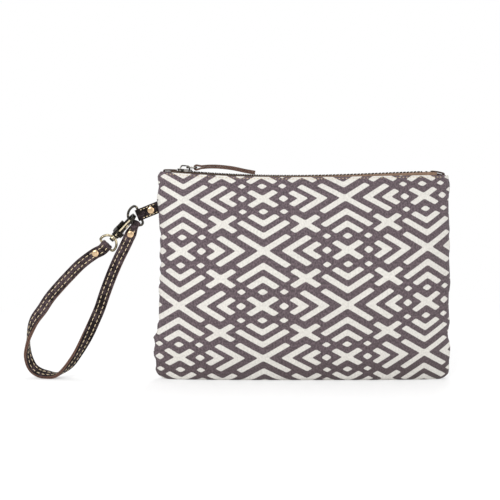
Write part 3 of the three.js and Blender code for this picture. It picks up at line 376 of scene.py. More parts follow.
class Paint:
    """One material: its shader, and one method that adds any other node."""

    def __init__(self, name, roughness=0.6, metallic=0.0):
        self.material = bpy.data.materials.new(name)
        self.material.use_nodes = True
        self.tree = self.material.node_tree
        self.shader = self.tree.nodes["Principled BSDF"]
        self.set("Roughness", roughness)
        self.set("Metallic", metallic)

    def set(self, name, value):
        self.feed(self.shader.inputs[name], value)

    def feed(self, socket, value):
        if isinstance(value, Value):
            value = value.socket
        if isinstance(value, bpy.types.NodeSocket):
            self.tree.links.new(value, socket)
        else:
            socket.default_value = value

    def node(self, kind, settings=None, inputs=None):
        made = self.tree.nodes.new("ShaderNode" + kind)
        for name, value in (settings or {}).items():
            setattr(made, name, value)
        for name, value in (inputs or {}).items():
            self.feed(made.inputs[name], value)
        return made

    def place(self, kind="Object"):
        return self.node("TexCoord").outputs[kind]

    def split(self, vector):
        parts = self.node("SeparateXYZ", None, {0: vector})
        return [Value(self, socket) for socket in parts.outputs]

    def noise(self, vector, size, detail=3.0, roughness=0.5, stretch=(1, 1, 1)):
        """Noise whose features are about the given size in metres."""
        drawn = self.node("VectorMath", {"operation": "MULTIPLY"}, {0: vector, 1: stretch}).outputs[0]
        made = self.node(
            "TexNoise", None,
            {"Vector": drawn, "Scale": 1 / size, "Detail": detail, "Roughness": roughness},
        )
        return Value(self, made.outputs["Fac"])

    def cells(self, vector, size):
        """Distance to the edges of cells of about the given size, from 0 at an edge."""
        made = self.node(
            "TexVoronoi", {"feature": "DISTANCE_TO_EDGE"},
            {"Vector": vector, "Scale": 1 / size},
        )
        return Value(self, made.outputs["Distance"])

    def mix(self, share, low, high):
        """A colour between two, each a socket or three numbers."""
        ends = [end if isinstance(end, bpy.types.NodeSocket) else opaque(end) for end in (low, high)]
        made = self.node("Mix", {"data_type": "RGBA"}, {0: share, 6: ends[0], 7: ends[1]})
        return made.outputs[2]

    def bump(self, height, depth, strength=1.0):
        """Relief of a height from 0 to 1, as deep as the given depth in metres."""
        made = self.node("Bump", None, {"Strength": strength, "Distance": depth, "Height": height})
        self.set("Normal", made.outputs[0])


def weave(along, across, pitch):
    """Height of a plain weave and which of its threads is on top, from two lengths in metres."""
    turn = math.pi / pitch
    warp = (along * turn).sine()
    weft = (across * turn).sine()
    over = (warp * weft).between(-0.15, 0.15)
    height = abs(warp) * over + abs(weft) * (1 - over)
    return height, over


def print_mask(along, up):
    """1 on the bars of the print and 0 on its ground. Its numbers are in units of the print's scale."""
    corner_x = PRINT_QUARTER_WIDTH / PRINT_SCALE
    corner_y = PRINT_QUARTER_HEIGHT / PRINT_SCALE
    blur = 0.5
    slope = 0.615
    half_bar = 3.2
    bar_end = half_bar * 0.15
    bar_corner = 2.6
    fold_corner = 5.0
    diamond_tip = 0.8

    def folded(length, corner, rounding):
        """A length folded into the quarter cell, with its mirror lines rounded."""
        part = (length * (1 / (PRINT_SCALE * MM))).pingpong(corner).rounded_size(rounding)
        return corner - (corner - part).rounded_size(rounding)

    def bar(off, ahead, half_length):
        """How deep a place is inside a bar, from its distances to the middle of it."""
        return (half_bar - off).rounded_least(half_length - ahead, bar_corner)

    def diamond(across, high, half_width, half_height):
        """How deep a place is inside a small diamond."""
        reach = across.rounded_size(diamond_tip * half_width) * (half_height / half_width)
        return half_height - reach - high.rounded_size(diamond_tip * half_height)

    def rising(across, high, from_x, from_y, end_x):
        """A bar that starts at a point on a mirror line and rises to the right."""
        off = abs(high - from_y - (across - from_x) * slope)
        middle_y = from_y + (end_x - from_x) * slope
        return bar(off, high - middle_y + (across - end_x) * slope, bar_end)

    def quarter(across, high):
        """The marks of one quarter of the repeat."""
        small = abs(high - (corner_x - across) * slope)
        reach = high + (corner_x - across) * slope
        return [
            rising(across, high, 0, 0, 24.1),
            rising(across, high, 0, 14.35, 23.7),
            rising(across, high, 0, 27.1, 13.4),
            rising(across, high, 22.5, 0, 44.5),
            rising(across, high, 42.4, 0, 54),
            diamond(across, high - 39.6, 5.4, 3.4),
            diamond(across - 62, high, 5.3, 3.9),
            diamond(across - (corner_x - 20.7), high - 13.9, 4.6, 3.0),
            bar(small, reach, 13.2 * slope + 8.4),
        ]

    x = folded(along - PRINT_CROSS.x * MM, corner_x, fold_corner)
    y = folded(up - PRINT_CROSS.z * MM, corner_y, fold_corner * slope)
    marks = quarter(x, y) + quarter(corner_x - x, corner_y - y)
    from_middle_x = (x - corner_x / 2).rounded_size(fold_corner)
    from_middle_y = (y - corner_y / 2).rounded_size(fold_corner * slope)
    arm = abs(from_middle_y - from_middle_x * slope)
    marks.append(bar(arm, from_middle_y + from_middle_x * slope, 12.7 * slope + 8))
    depth = marks[0]
    for mark in marks[1:]:
        depth = depth.most(mark)
    return depth.between(-blur / 2, blur / 2)


# Materials

def printed_canvas():
    paint = Paint("printed canvas", roughness=0.88)
    uv = paint.place("UV")
    along, up, _ = paint.split(uv)
    wander = paint.noise(uv, 1.1 * MM, detail=2.0) - 0.5
    bleed = 0.55 * MM
    yarn = 0.78 * MM
    mask = print_mask(along + wander * bleed, up + wander * bleed)
    height, over = weave(along, up, yarn)
    slub = paint.noise(uv, 1.45 * MM, detail=3.0, stretch=(1, 0.75, 1))
    cloud = paint.noise(uv, 60 * MM, detail=2.0)
    shades = colours()
    thick = slub.between(0.36, 0.64)
    ground = paint.mix(thick, scaled(shades.canvas_ground, 0.58), scaled(shades.canvas_ground, 1.7))
    pale = paint.mix(thick, scaled(shades.canvas_bars, 0.93), scaled(shades.canvas_bars, 1.1))
    x, _, z = paint.split(paint.place())
    # Painted shade: the print's ground darkens towards the right side, and towards the bottom where the
    # cloth curves under towards the floor.
    to_right = x.between(-120 * MM, 125 * MM)
    low = z.between(150 * MM, 0)
    foot = z.between(24 * MM, 4 * MM)
    painted_shade = low * low * 0.22 + foot * 0.28 + to_right * 0.16
    ground = paint.mix(painted_shade, ground, (0.042, 0.025, 0.021))
    # Painted shade: the pale bars dim a little in the hollows of the weave.
    shaded_bar_mask = mask * (1 - (1 - height) * 0.16)
    base = paint.mix(shaded_bar_mask, ground, pale)
    # Painted shade in the weave's hollows, towards the right and at the foot, over a large random mottle
    # of the cloth's own tone.
    shadow = (1 - height) * 0.2 + cloud * 0.12 + to_right * 0.08 + foot * 0.05
    paint.set("Base Color", paint.mix(shadow, base, (0.05, 0.045, 0.047)))
    paint.set("Roughness", 0.8 + slub * 0.15)
    paint.set("Sheen Weight", 0.12)
    paint.bump(height * 0.8 + slub * 0.3 + over * 0.1, 0.16 * MM, 0.7)
    return paint.material


def plain_cloth(name, colour, pitch, depth):
    paint = Paint(name, roughness=0.9)
    uv = paint.place("UV")
    along, across, _ = paint.split(uv)
    height, over = weave(along, across, pitch)
    slub = paint.noise(uv, 4 * MM, detail=3.0)
    shade = paint.mix(slub.between(0.3, 0.7), scaled(colour, 0.8), scaled(colour, 1.12))
    # Painted shade in the hollows of the weave.
    paint.set("Base Color", paint.mix((1 - height) * 0.4, shade, scaled(colour, 0.35)))
    paint.bump(height + over * 0.2, depth, 0.8)
    return paint.material


def twill_tape(name, colour):
    paint = Paint(name, roughness=0.85)
    uv = paint.place("UV")
    along, across, _ = paint.split(uv)
    stripe = 0.7 * MM
    zigzag = across.pingpong(1.4 * MM)
    height = abs(((along + zigzag) * (math.pi / stripe)).sine())
    slub = paint.noise(uv, 3 * MM, detail=3.0)
    shade = paint.mix(slub.between(0.3, 0.7), scaled(colour, 0.8), scaled(colour, 1.2))
    # Painted shade: the tape darkens towards its left end.
    x, _, _ = paint.split(paint.place())
    shade = paint.mix(x.between(-60 * MM, 50 * MM), scaled(colour, 0.25), shade)
    # Painted shade in the hollows of the twill.
    paint.set("Base Color", paint.mix((1 - height) * 0.45, shade, scaled(colour, 0.3)))
    paint.bump(height, 0.12 * MM, 0.9)
    return paint.material


def leather_face(name, colour, worn, gloss=0.5, rubbed_to_left=False):
    """Dark grained leather with rubbed patches, more of them towards the loop's left if asked."""
    paint = Paint(name, roughness=gloss)
    place = paint.place()
    grain = paint.cells(place, 1.0 * MM)
    pores = paint.noise(place, 0.5 * MM, detail=4.0)
    cloud = paint.noise(place, 4 * MM, detail=5.0, roughness=0.62)
    rub = cloud.between(0.5, 0.62) * pores.between(0.35, 0.6) * 0.34
    if rubbed_to_left:
        x, _, z = paint.split(place)
        left = (z - x * 0.8).between(0.17, 0.24)
        rub = rub + cloud.between(0.36, 0.56) * pores.between(0.3, 0.6) * left * 0.5
    base = paint.mix(pores.between(0.25, 0.75), scaled(colour, 0.6), scaled(colour, 1.5))
    paint.set("Base Color", paint.mix(rub, base, tuple(worn)))
    paint.set("Roughness", gloss + rub * 0.18 - pores * 0.1)
    paint.set("Specular IOR Level", 0.1)
    creases = grain.between(0.0, 0.16)
    paint.bump(creases * 0.6 + pores * 0.4, 0.14 * MM, 0.6)
    return paint.material


def leather_edge(name, colour):
    paint = Paint(name, roughness=0.7)
    place = paint.place()
    fibre = paint.noise(place, 0.7 * MM, detail=5.0, roughness=0.7)
    cloud = paint.noise(place, 8 * MM, detail=3.0)
    base = paint.mix(fibre.between(0.3, 0.7), scaled(colour, 0.45), scaled(colour, 1.5))
    paint.set("Base Color", paint.mix(cloud.between(0.45, 0.75) * 0.5, base, scaled(colour, 0.3)))
    paint.bump(fibre, 0.15 * MM, 0.7)
    return paint.material


def leather_looks(name, rubbed_to_left=False, edge_share=1):
    """The face and the cut edge of a dark leather piece."""
    shades = colours()
    face = leather_face(
        name + " face", shades.dark_leather, shades.worn_leather, rubbed_to_left=rubbed_to_left,
    )
    return [face, leather_edge(name + " edge", scaled(shades.raw_leather, edge_share))]


def thread_material(name, colour):
    paint = Paint(name, roughness=0.75)
    place = paint.place()
    ply = paint.noise(place, 0.5 * MM, detail=2.0)
    shade = paint.mix(ply.between(0.3, 0.7), scaled(colour, 0.6), scaled(colour, 1.25))
    paint.set("Base Color", shade)
    paint.bump(ply, 0.08 * MM, 0.8)
    return paint.material


# Metal with random bright patches: rubbed places, and on the slider and link also painted highlights.
def patchy_metal(name, dark, bright, patchiness, roughness=0.32):
    paint = Paint(name, roughness=roughness, metallic=1.0)
    place = paint.place()
    cloud = paint.noise(place, 3.5 * MM, detail=5.0, roughness=0.65)
    fine = paint.noise(place, 0.4 * MM, detail=3.0)
    scratch = paint.noise(place, 0.5 * MM, detail=2.0, stretch=(1, 1, 0.12))
    rubbed = cloud.between(0.62 - patchiness, 0.72 - patchiness)
    paint.set("Base Color", paint.mix(rubbed, tuple(dark), tuple(bright)))
    paint.set("Roughness", roughness + fine * 0.12 - rubbed * 0.08)
    paint.bump(fine * 0.5 + scratch * 0.5, 0.02 * MM, 0.35)
    return paint.material


def rivet_look(name):
    shades = colours()
    return patchy_metal(name, scaled(shades.rivet, 0.8), scaled(shades.rivet, 1.15), 0.1, 0.24)


def band(value, edges):
    """One between two distances in millimetres, with soft ends, and nought outside."""
    low, high = edges
    soft = 0.3
    rise = value.between((low - soft) * MM, low * MM)
    return rise * (1 - value.between(high * MM, (high + soft) * MM))


def hook_metal(name, dark, bright):
    """Dark cast metal with rubbed patches, a painted highlight streak along its left side and a painted
    brass-coloured glint on the gate's knob.
    """
    paint = Paint(name, roughness=0.3, metallic=1.0)
    place = paint.place()
    x, _, z = paint.split(place)
    up = direction(HOOK_ANGLE)
    x = x - HOOK_COLLAR.x * MM
    z = z - HOOK_COLLAR.z * MM
    along = x * up.x + z * up.z
    aside = z * up.x - x * up.z
    # Painted highlight: a bright streak along the hook's left side; painted glint: a bright spot on the
    # gate's knob.
    stripe = band(aside, HIGHLIGHT_ASIDE) * band(along, HIGHLIGHT_ALONG)
    glint = band(along, GLINT_ALONG) * band(aside, GLINT_ASIDE)
    cloud = paint.noise(place, 2.2 * MM, detail=5.0, roughness=0.65)
    rubbed = cloud.between(0.56, 0.66) * 0.35
    bare = paint.mix(rubbed, dark, bright)
    shown = paint.mix(stripe, bare, scaled(bright, 1.5))
    paint.set("Base Color", paint.mix(glint * cloud.between(0.4, 0.55), shown, scaled(bright, 1.3)))
    # The painted highlight and glint are made less metallic, so their pale colour shows bright under any
    # lamp.
    paint.set("Metallic", 1 - stripe * 0.7 - glint * 0.6)
    paint.set("Roughness", 0.34 - stripe * 0.1)
    paint.bump(cloud, 0.1 * MM, 0.5)
    return paint.material


# Shapes

def lerp(low, high, share):
    return low + (high - low) * share


def smooth(share):
    share = min(1.0, max(0.0, share))
    return share * share * (3 - 2 * share)


def table_at(table, share):
    """The value of a table at a share, blended smoothly between its entries."""
    for (low, low_value), (high, high_value) in zip(table, table[1:]):
        if share <= high:
            return lerp(low_value, high_value, smooth((share - low) / (high - low)))
    return table[-1][1]


def direction(degrees):
    return Vector((math.cos(math.radians(degrees)), 0, math.sin(math.radians(degrees))))


def plane(x, z):
    return Vector((x, 0, z))


def belongs(made, body, node=None):
    """Say which body a piece moves with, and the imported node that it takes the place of."""
    if node:
        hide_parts(node)
    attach(made, body)


def mesh_object(name, mesh, materials):
    for look in materials:
        mesh.materials.append(look)
    for face in mesh.polygons:
        face.use_smooth = True
    made = bpy.data.objects.new(name, mesh)
    bpy.context.scene.collection.objects.link(made)
    return made


def new_object(name, bm, materials):
    """An object at the origin from a bmesh whose points are in millimetres."""
    bmesh.ops.scale(bm, vec=Vector((MM, MM, MM)), verts=bm.verts)
    mesh = bpy.data.meshes.new(name)
    bm.to_mesh(mesh)
    bm.free()
    return mesh_object(name, mesh, materials)


def add_thickness(made, thickness, rim_width, edge_slot=0, offset=1.0):
    solid = made.modifiers.new("thickness", "SOLIDIFY")
    solid.thickness = thickness * MM
    solid.offset = offset
    solid.use_even_offset = True
    solid.material_offset_rim = edge_slot
    if rim_width:
        soften(made, rim_width, 50)


def soften(made, width, angle):
    rim = made.modifiers.new("rounded edges", "BEVEL")
    rim.width = width * MM
    rim.segments = 3
    rim.limit_method = "ANGLE"
    rim.angle_limit = math.radians(angle)
    rim.use_clamp_overlap = True
    rim.harden_normals = False


def mapped_grid(name, columns, rows, place, measure, materials, outward):
    """A grid of faces put in place by a function of two shares, with its UV in metres."""
    bm = bmesh.new()
    uv_layer = bm.loops.layers.uv.new("lengths")
    bmesh.ops.create_grid(bm, x_segments=columns, y_segments=rows, size=0.5)
    shares = {vert: (vert.co.x + 0.5, vert.co.y + 0.5) for vert in bm.verts}
    for face in bm.faces:
        for loop in face.loops:
            across, up = measure(*shares[loop.vert])
            loop[uv_layer].uv = (across * MM, up * MM)
    for vert, (across, up) in shares.items():
        vert.co = place(across, up)
    bmesh.ops.remove_doubles(bm, verts=bm.verts, dist=0.01)
    bmesh.ops.dissolve_degenerate(bm, dist=0.01, edges=bm.edges)
    bm.normal_update()
    agree = sum(face.normal.dot(outward(face.calc_center_median())) for face in bm.faces)
    if agree < 0:
        bmesh.ops.reverse_faces(bm, faces=bm.faces)
    return new_object(name, bm, materials)


def line_lengths(points):
    lengths = [0.0]
    for before, after in zip(points, points[1:]):
        lengths.append(lengths[-1] + (after - before).length)
    return lengths


def at_share(items, share):
    """The item at a share of a list, blended between its neighbours."""
    place = share * (len(items) - 1)
    low = min(int(place), len(items) - 2)
    return lerp(items[low], items[low + 1], place - low)


def folded_strip(name, line, across, width, thickness, materials, outward):
    """A strip of leather along a line of points, as wide as given along one direction."""
    lengths = line_lengths(line)
    columns = 6

    def place(share, up):
        return at_share(line, up) + across * ((share - 0.5) * width(at_share(lengths, up)))

    def measure(share, up):
        return (share - 0.5) * width(at_share(lengths, up)), at_share(lengths, up)

    made = mapped_grid(name, columns, len(line) - 1, place, measure, materials, outward)
    add_thickness(made, thickness, rim_width=0.28, edge_slot=1)
    return made


def stitches(name, spots, length, radius, look, body):
    """Stitches: each spot has a place, a direction and the normal of what it lies on."""
    flatness = 0.8
    bm = bmesh.new()
    for place, along, normal in spots:
        side = along.cross(normal).normalized()
        turn = Matrix((along.normalized(), side, normal.normalized())).transposed().to_4x4()
        shape = Matrix.Diagonal((length / 2, radius, radius * flatness, 1))
        matrix = Matrix.Translation(place) @ turn @ shape @ Matrix.Rotation(math.pi / 2, 4, "Y")
        bmesh.ops.create_uvsphere(bm, u_segments=8, v_segments=5, radius=1, matrix=matrix)
    belongs(new_object(name, bm, [look]), body)


def wire(name, points, radius, look, closed=True, sides=10):
    """A round wire along a list of points."""
    curve = bpy.data.curves.new(name, "CURVE")
    curve.dimensions = "3D"
    curve.bevel_depth = radius * MM
    curve.bevel_resolution = sides // 2
    curve.use_fill_caps = True
    spline = curve.splines.new("POLY")
    spline.points.add(len(points) - 1)
    for point, target in zip(spline.points, points):
        point.co = (*(target * MM), 1)
    spline.use_cyclic_u = closed
    holder = bpy.data.objects.new(name + " line", curve)
    bpy.context.scene.collection.objects.link(holder)
    bpy.context.view_layer.update()
    mesh = bpy.data.meshes.new_from_object(holder)
    bpy.data.objects.remove(holder)
    mesh.name = name
    mesh.materials.clear()
    return mesh_object(name, mesh, [look])


def cad_copy(name, node, look, width, angle=28):
    """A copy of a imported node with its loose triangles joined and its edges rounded."""
    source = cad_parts[node]
    bm = bmesh.new()
    bm.from_mesh(source.data)
    bmesh.ops.remove_doubles(bm, verts=bm.verts, dist=0.002 * MM)
    bmesh.ops.dissolve_limit(
        bm, angle_limit=math.radians(2), verts=bm.verts, edges=bm.edges, use_dissolve_boundaries=False,
    )
    bmesh.ops.scale(bm, vec=Vector((1 / MM, 1 / MM, 1 / MM)), verts=bm.verts)
    made = new_object(name, bm, [look])
    soften(made, width, angle)
    return made


def turned(name, outline, front, facing, look):
    """A shape turned on a lathe: its outline is pairs of radius and height above the front."""
    bm = bmesh.new()
    verts = [bm.verts.new((radius, 0, height)) for radius, height in outline]
    edges = [bm.edges.new(pair) for pair in zip(verts, verts[1:])]
    bmesh.ops.spin(
        bm, geom=verts + edges, cent=(0, 0, 0), axis=(0, 0, 1), angle=2 * math.pi, steps=32,
        use_merge=True,
    )
    bmesh.ops.remove_doubles(bm, verts=bm.verts, dist=0.001)
    bmesh.ops.recalc_face_normals(bm, faces=bm.faces)
    turn = UP.rotation_difference(facing).to_matrix().to_4x4()
    bmesh.ops.transform(bm, matrix=Matrix.Translation(front) @ turn, verts=bm.verts)
    return new_object(name, bm, [look])


# Pouch body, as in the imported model

def mouth_swell(x):
    """The mouth stands a little higher right of its middle."""
    share = min(max(x / (ZIP_HALF_LENGTH + SWELL_PAST_ZIP), -1), 1)
    return MOUTH_SWELL * (1 - share * share) * (1 + share) ** 2


def canvas_top(x):
    share = x / BAG_HALF_WIDTH
    return CANVAS_TOP_MIDDLE + CANVAS_TOP_RISE * share * share + CANVAS_TOP_TILT * share + mouth_swell(x)


def zip_top(x):
    share = x / ZIP_HALF_LENGTH
    return ZIP_MIDDLE_Z + ZIP_RISE * share * share + ZIP_TILT * share + mouth_swell(x)


def wall_point(share, across, inset, top_drop):
    """Across, depth and height of a point of the wall, the pinch of its side, and its unwaved x."""
    spread = BAG_FOOT_SPREAD * (1 - share) ** 3
    straight_x = BAG_CENTRE_X + across * (BAG_HALF_WIDTH + spread - inset)
    wave = table_at(SIDE_WAVE_LEFT if across < 0 else SIDE_WAVE_RIGHT, share)
    x = straight_x + wave * abs(across) ** SIDE_WAVE_POWER
    straight = lerp(BASE_HALF_DEPTH, MOUTH_HALF_DEPTH, share)
    depth = straight + BAG_BULGE * 4 * share * (1 - share) - inset
    power = lerp(EDGE_POWER_LOW, EDGE_POWER_HIGH, share * share)
    pinch = math.sqrt(max(0.0, 1 - abs(across) ** power))
    z = BASE_CORNER_RADIUS + share * (canvas_top(x) - top_drop - BASE_CORNER_RADIUS)
    return x, depth * pinch, z, pinch, straight_x


def corner_lift(x, inset):
    flat = BAG_HALF_WIDTH + BAG_FOOT_SPREAD - inset - BOTTOM_CORNER_RADIUS
    over = max(0.0, abs(x - BAG_CENTRE_X) - flat)
    return BOTTOM_CORNER_RADIUS - math.sqrt(max(0.0, BOTTOM_CORNER_RADIUS ** 2 - over * over))


def layer_point(across, station, side, inset, top_drop):
    """A point of a layer, by a station from -2 at the base seam to 0 and 1 on the wall."""
    bottom_x, _, _, bottom_pinch, straight_x = wall_point(0, across, inset, top_drop)
    flat_end = side * (BASE_HALF_DEPTH - BASE_CORNER_RADIUS) * bottom_pinch
    if station < -1:
        seam = SEAM_BEHIND_CENTRE * bottom_pinch
        x, y, z = bottom_x, lerp(seam, flat_end, station + 2), inset
    elif station < 0:
        turn = (station + 1) * math.pi / 2
        reach = (BASE_CORNER_RADIUS - inset) * math.sin(turn)
        y = side * (BASE_HALF_DEPTH - BASE_CORNER_RADIUS + reach) * bottom_pinch
        x, z = bottom_x, BASE_CORNER_RADIUS - (BASE_CORNER_RADIUS - inset) * math.cos(turn)
    else:
        x, depth, z, _, straight_x = wall_point(station, across, inset, top_drop)
        y = side * depth
    lift = corner_lift(straight_x, inset)
    height = lift + z * (1 - lift / canvas_top(x))
    return Vector((x, y + side * PANEL_GAP / 2, height))


def panel_stations():
    base = [-2 + row / PANEL_BASE_ROWS for row in range(PANEL_BASE_ROWS)]
    corner = [-1 + row / PANEL_CORNER_ROWS for row in range(PANEL_CORNER_ROWS)]
    wall = [row / PANEL_WALL_ROWS for row in range(PANEL_WALL_ROWS + 1)]
    return base + corner + wall


def softness(point, station, across, side):
    """How far the cloth stands in or out at a point, in millimetres, from its soft folds."""
    inside = min(1.0, max(0.0, station) * 6) * min(1.0, (1 - abs(across)) * 9)
    slow = noise.noise(Vector((point.x / 52, side * 3.1, point.z / 38)))
    crease = noise.noise(Vector((point.x / 17, side * 7.7, point.z / 60)))
    pucker = noise.noise(Vector((point.x / 6.5, side * 1.3, 0.4)))
    top = smooth((station - (1 - PUCKER_BAND)) / PUCKER_BAND)
    return inside * (FOLD_DEPTH * slow + CREASE_DEPTH * crease + PUCKER_DEPTH * top * pucker)


def print_place(x, z):
    """Where on the print a place of the cloth is, with the pull of the cloth."""
    a = x / 100
    b = (z - PRINT_MIDDLE_Z) / 100
    terms = (1, a, b, a * a, a * b, b * b, a ** 3, a * a * b, a * b * b, b ** 3)
    drift = [sum(k * t for k, t in zip(table, terms)) for table in (PRINT_DRIFT_ACROSS, PRINT_DRIFT_UP)]
    return x + drift[0], z + drift[1]


def seam_bulge(z, across):
    """How far the canvas stands out or in beside the seam, as its raised bars push it."""
    bulges = SEAM_BULGES_LEFT if across < 0 else SEAM_BULGES_RIGHT
    return table_at(bulges, z) * abs(across) ** SEAM_BULGE_POWER


def cloth_layer(name, side, inset, top_drop, look, soft=True):
    """One layer of a panel as a single grid, with its UV where the print lies on it."""
    stations = panel_stations()
    heights = [layer_point(0, station, side, inset, top_drop) for station in stations]
    lengths = line_lengths(heights)
    middle = len(stations) * 3 // 5
    shift = heights[middle].z - lengths[middle]

    def place(across_share, up_share):
        across = math.sin((across_share - 0.5) * math.pi)
        station = at_share(stations, up_share)
        point = layer_point(across, station, side, inset, top_drop)
        point.x += seam_bulge(point.z, across)
        if soft:
            point.y += side * softness(point, station, across, side)
        return point

    def measure(across_share, up_share):
        point = place(across_share, up_share)
        rise = point.z - at_share(heights, up_share).z
        return print_place(point.x, at_share(lengths, up_share) + shift + rise)

    def outward(point):
        return Vector((0, side, 0)) if point.z > BASE_CORNER_RADIUS else -UP

    return mapped_grid(name, PANEL_COLUMNS, len(stations) - 1, place, measure, [look], outward)


def top_stitch_spots(side):
    """Spots of the row of stitches that holds the canvas to the zip tape."""
    spots = []
    for stitch in range(int(2 * TOP_STITCH_HALF_RUN / TOP_STITCH_PITCH)):
        x = BAG_CENTRE_X - TOP_STITCH_HALF_RUN + (stitch + 0.5) * TOP_STITCH_PITCH
        across = (x - BAG_CENTRE_X) / BAG_HALF_WIDTH
        station = 1 - TOP_STITCH_BELOW_EDGE / canvas_top(x)
        here = layer_point(across, station, side, 0, 0)
        ahead = layer_point(across + 0.004, station, side, 0, 0)
        here.y += side * softness(here, station, across, side)
        spots.append((here, (ahead - here).normalized(), Vector((0, side, 0))))
    return spots


class POUCH_OT_panels(bpy.types.Operator):
    """Make the two printed canvas panels and the stitches along their top edges"""

    bl_idname = "pouch.panels"
    bl_label = "Canvas panels"

    def execute(self, context):
        look = printed_canvas()
        thread = thread_material("top thread", colours().top_thread)
        thickness = sizes().canvas_thickness / MM
        for word, side in (("front", -1), ("back", 1)):
            panel = cloth_layer(f"canvas_{word}", side, 0, 0, look)
            add_thickness(panel, thickness, rim_width=0.4, offset=-1)
            belongs(panel, "pouch", f"{word}_panel")
            stitches(
                f"top_stitches_{word}", top_stitch_spots(side), TOP_STITCH_LENGTH, TOP_STITCH_RADIUS,
                thread, "pouch",
            )
        return {"FINISHED"}


class POUCH_OT_lining(bpy.types.Operator):
    """Make the two lining panels inside the pouch"""

    bl_idname = "pouch.lining"
    bl_label = "Lining"

    def execute(self, context):
        look = plain_cloth("lining cloth", colours().lining, 0.5 * MM, 0.08 * MM)
        for word, side in (("front", -1), ("back", 1)):
            layer = cloth_layer(f"lining_{word}", side, LINING_INSET, LINING_TOP_DROP, look, soft=False)
            add_thickness(layer, LINING_THICKNESS, rim_width=0, offset=-1)
            belongs(layer, "pouch", f"{word}_lining")
        return {"FINISHED"}


# Zip

def tape_point(x, share, side):
    """A point across one tape, from the bead to its hem inside the mouth."""
    level = zip_top(x) - CHAIN_THICKNESS / 2
    across = (x - BAG_CENTRE_X) / BAG_HALF_WIDTH
    hem = 1 - TAPE_HEM / canvas_top(x)
    mouth = wall_point(1, across, TAPE_INSET, 0)[1]
    low = wall_point(hem, across, TAPE_INSET, 0)[1]
    corners = (
        Vector((x, BEAD_Y, level)),
        Vector((x, mouth - TAPE_SHOULDER, level - TAPE_SLOPE)),
        Vector((x, mouth, level - TAPE_SLOPE - 2 * TAPE_SHOULDER)),
        Vector((x, low, canvas_top(x) - TAPE_HEM)),
    )
    point = at_share(corners, share)
    return Vector((point.x, side * point.y, point.z))


def zip_tape(word, side, look):
    """One tape of the zip and the bead along its edge."""

    def place(share, across):
        return tape_point(lerp(TAPE_START_X, TAPE_END_X, share), across, side)

    def measure(share, across):
        return lerp(TAPE_START_X, TAPE_END_X, share), across * TAPE_WIDTH

    tape = mapped_grid(
        f"tape_{word}", TAPE_COLUMNS, TAPE_ROWS, place, measure, [look], lambda point: UP,
    )
    add_thickness(tape, TAPE_THICKNESS, rim_width=0, offset=0)
    belongs(tape, "pouch", f"zip_tape_{word}")
    bead = []
    for step in range(BEAD_STEPS + 1):
        x = lerp(TAPE_START_X, TAPE_END_X, step / BEAD_STEPS)
        bead.append(Vector((x, side * BEAD_Y, zip_top(x) - CHAIN_THICKNESS / 2)))
    cord = wire(f"bead_{word}", bead, BEAD_RADIUS, look, closed=False, sides=8)
    belongs(cord, "pouch")


def zip_teeth(word, side, look):
    """A row of teeth: each is a rounded jaw on the bead, and a narrow head that meets the other row."""
    bm = bmesh.new()
    shift = TOOTH_PITCH / 2 if side > 0 else 0
    count = int((CHAIN_END_X - CHAIN_START_X - shift - TOOTH_WIDTH) / TOOTH_PITCH)
    for tooth in range(count):
        x = CHAIN_START_X + shift + (tooth + TOOTH_START) * TOOTH_PITCH + TOOTH_WIDTH / 2
        slope = math.atan2(zip_top(x + 1) - zip_top(x - 1), 2)
        stand = Matrix.Translation((x, 0, zip_top(x) - CHAIN_THICKNESS / 2))
        stand = stand @ Matrix.Rotation(-slope, 4, "Y")
        for (ahead, aside, above), size in ((JAW_PLACE, JAW_SIZE), (TOOTH_HEAD_PLACE, TOOTH_HEAD_SIZE)):
            shape = Matrix.Translation((ahead, side * aside, above)) @ Matrix.Diagonal((*size, 1))
            made = bmesh.ops.create_cube(bm, size=1, matrix=stand @ shape)
            edges = list({edge for vert in made["verts"] for edge in vert.link_edges})
            bmesh.ops.bevel(
                bm, geom=edges, offset=TOOTH_BEVEL, segments=1, affect="EDGES", profile=0.5,
                material=-1,
            )
    belongs(new_object(f"teeth_{word}", bm, [look]), "pouch", f"zip_teeth_{word}")


def zip_end(word, inner_x, side, looks, thread):
    """A leather piece folded over the end of the tapes, drooping towards the corner of the pouch."""
    outer_x = inner_x + side * ZIP_END_LENGTH
    middle = ZIP_END_TOP - ZIP_END_DEPTH / 2
    radius = ZIP_END_DEPTH / 2 - ZIP_END_LEATHER
    straight = outer_x - side * (ZIP_END_DEPTH / 2)
    droop = ZIP_END_DROOP_LEFT if side < 0 else ZIP_END_DROOP

    def spot(x, level):
        share = side * (x - inner_x) / ZIP_END_LENGTH
        return plane(x, zip_top(x) + level - droop * share * share)

    legs = 10
    bends = 8
    line = [spot(lerp(inner_x, straight, step / legs), middle + radius) for step in range(legs + 1)]
    for step in range(1, bends):
        turn = math.pi / 2 - step / bends * math.pi
        line.append(spot(straight + side * radius * math.cos(turn), middle + radius * math.sin(turn)))
    line += [spot(lerp(straight, inner_x, step / legs), middle - radius) for step in range(legs + 1)]

    def outward(point):
        x = min(point.x, straight) if side > 0 else max(point.x, straight)
        return point - spot(x, middle)

    piece = folded_strip(
        f"zip_end_{word}_leather", line, -FORWARD, lambda _: ZIP_END_WIDTH, ZIP_END_LEATHER, looks,
        outward,
    )
    belongs(piece, "pouch", f"zip_end_{word}")
    row = spot(inner_x + side * ZIP_END_STITCH_FROM_EDGE, ZIP_END_TOP)
    raised = 0.05
    spots = [
        (row + Vector((0, share * ZIP_END_WIDTH, raised)), -FORWARD, UP) for share in (-0.3, 0, 0.3)
    ]
    stitches(
        f"zip_end_{word}_stitches", spots, ZIP_END_STITCH_LENGTH, ZIP_END_STITCH_RADIUS, thread, "pouch",
    )


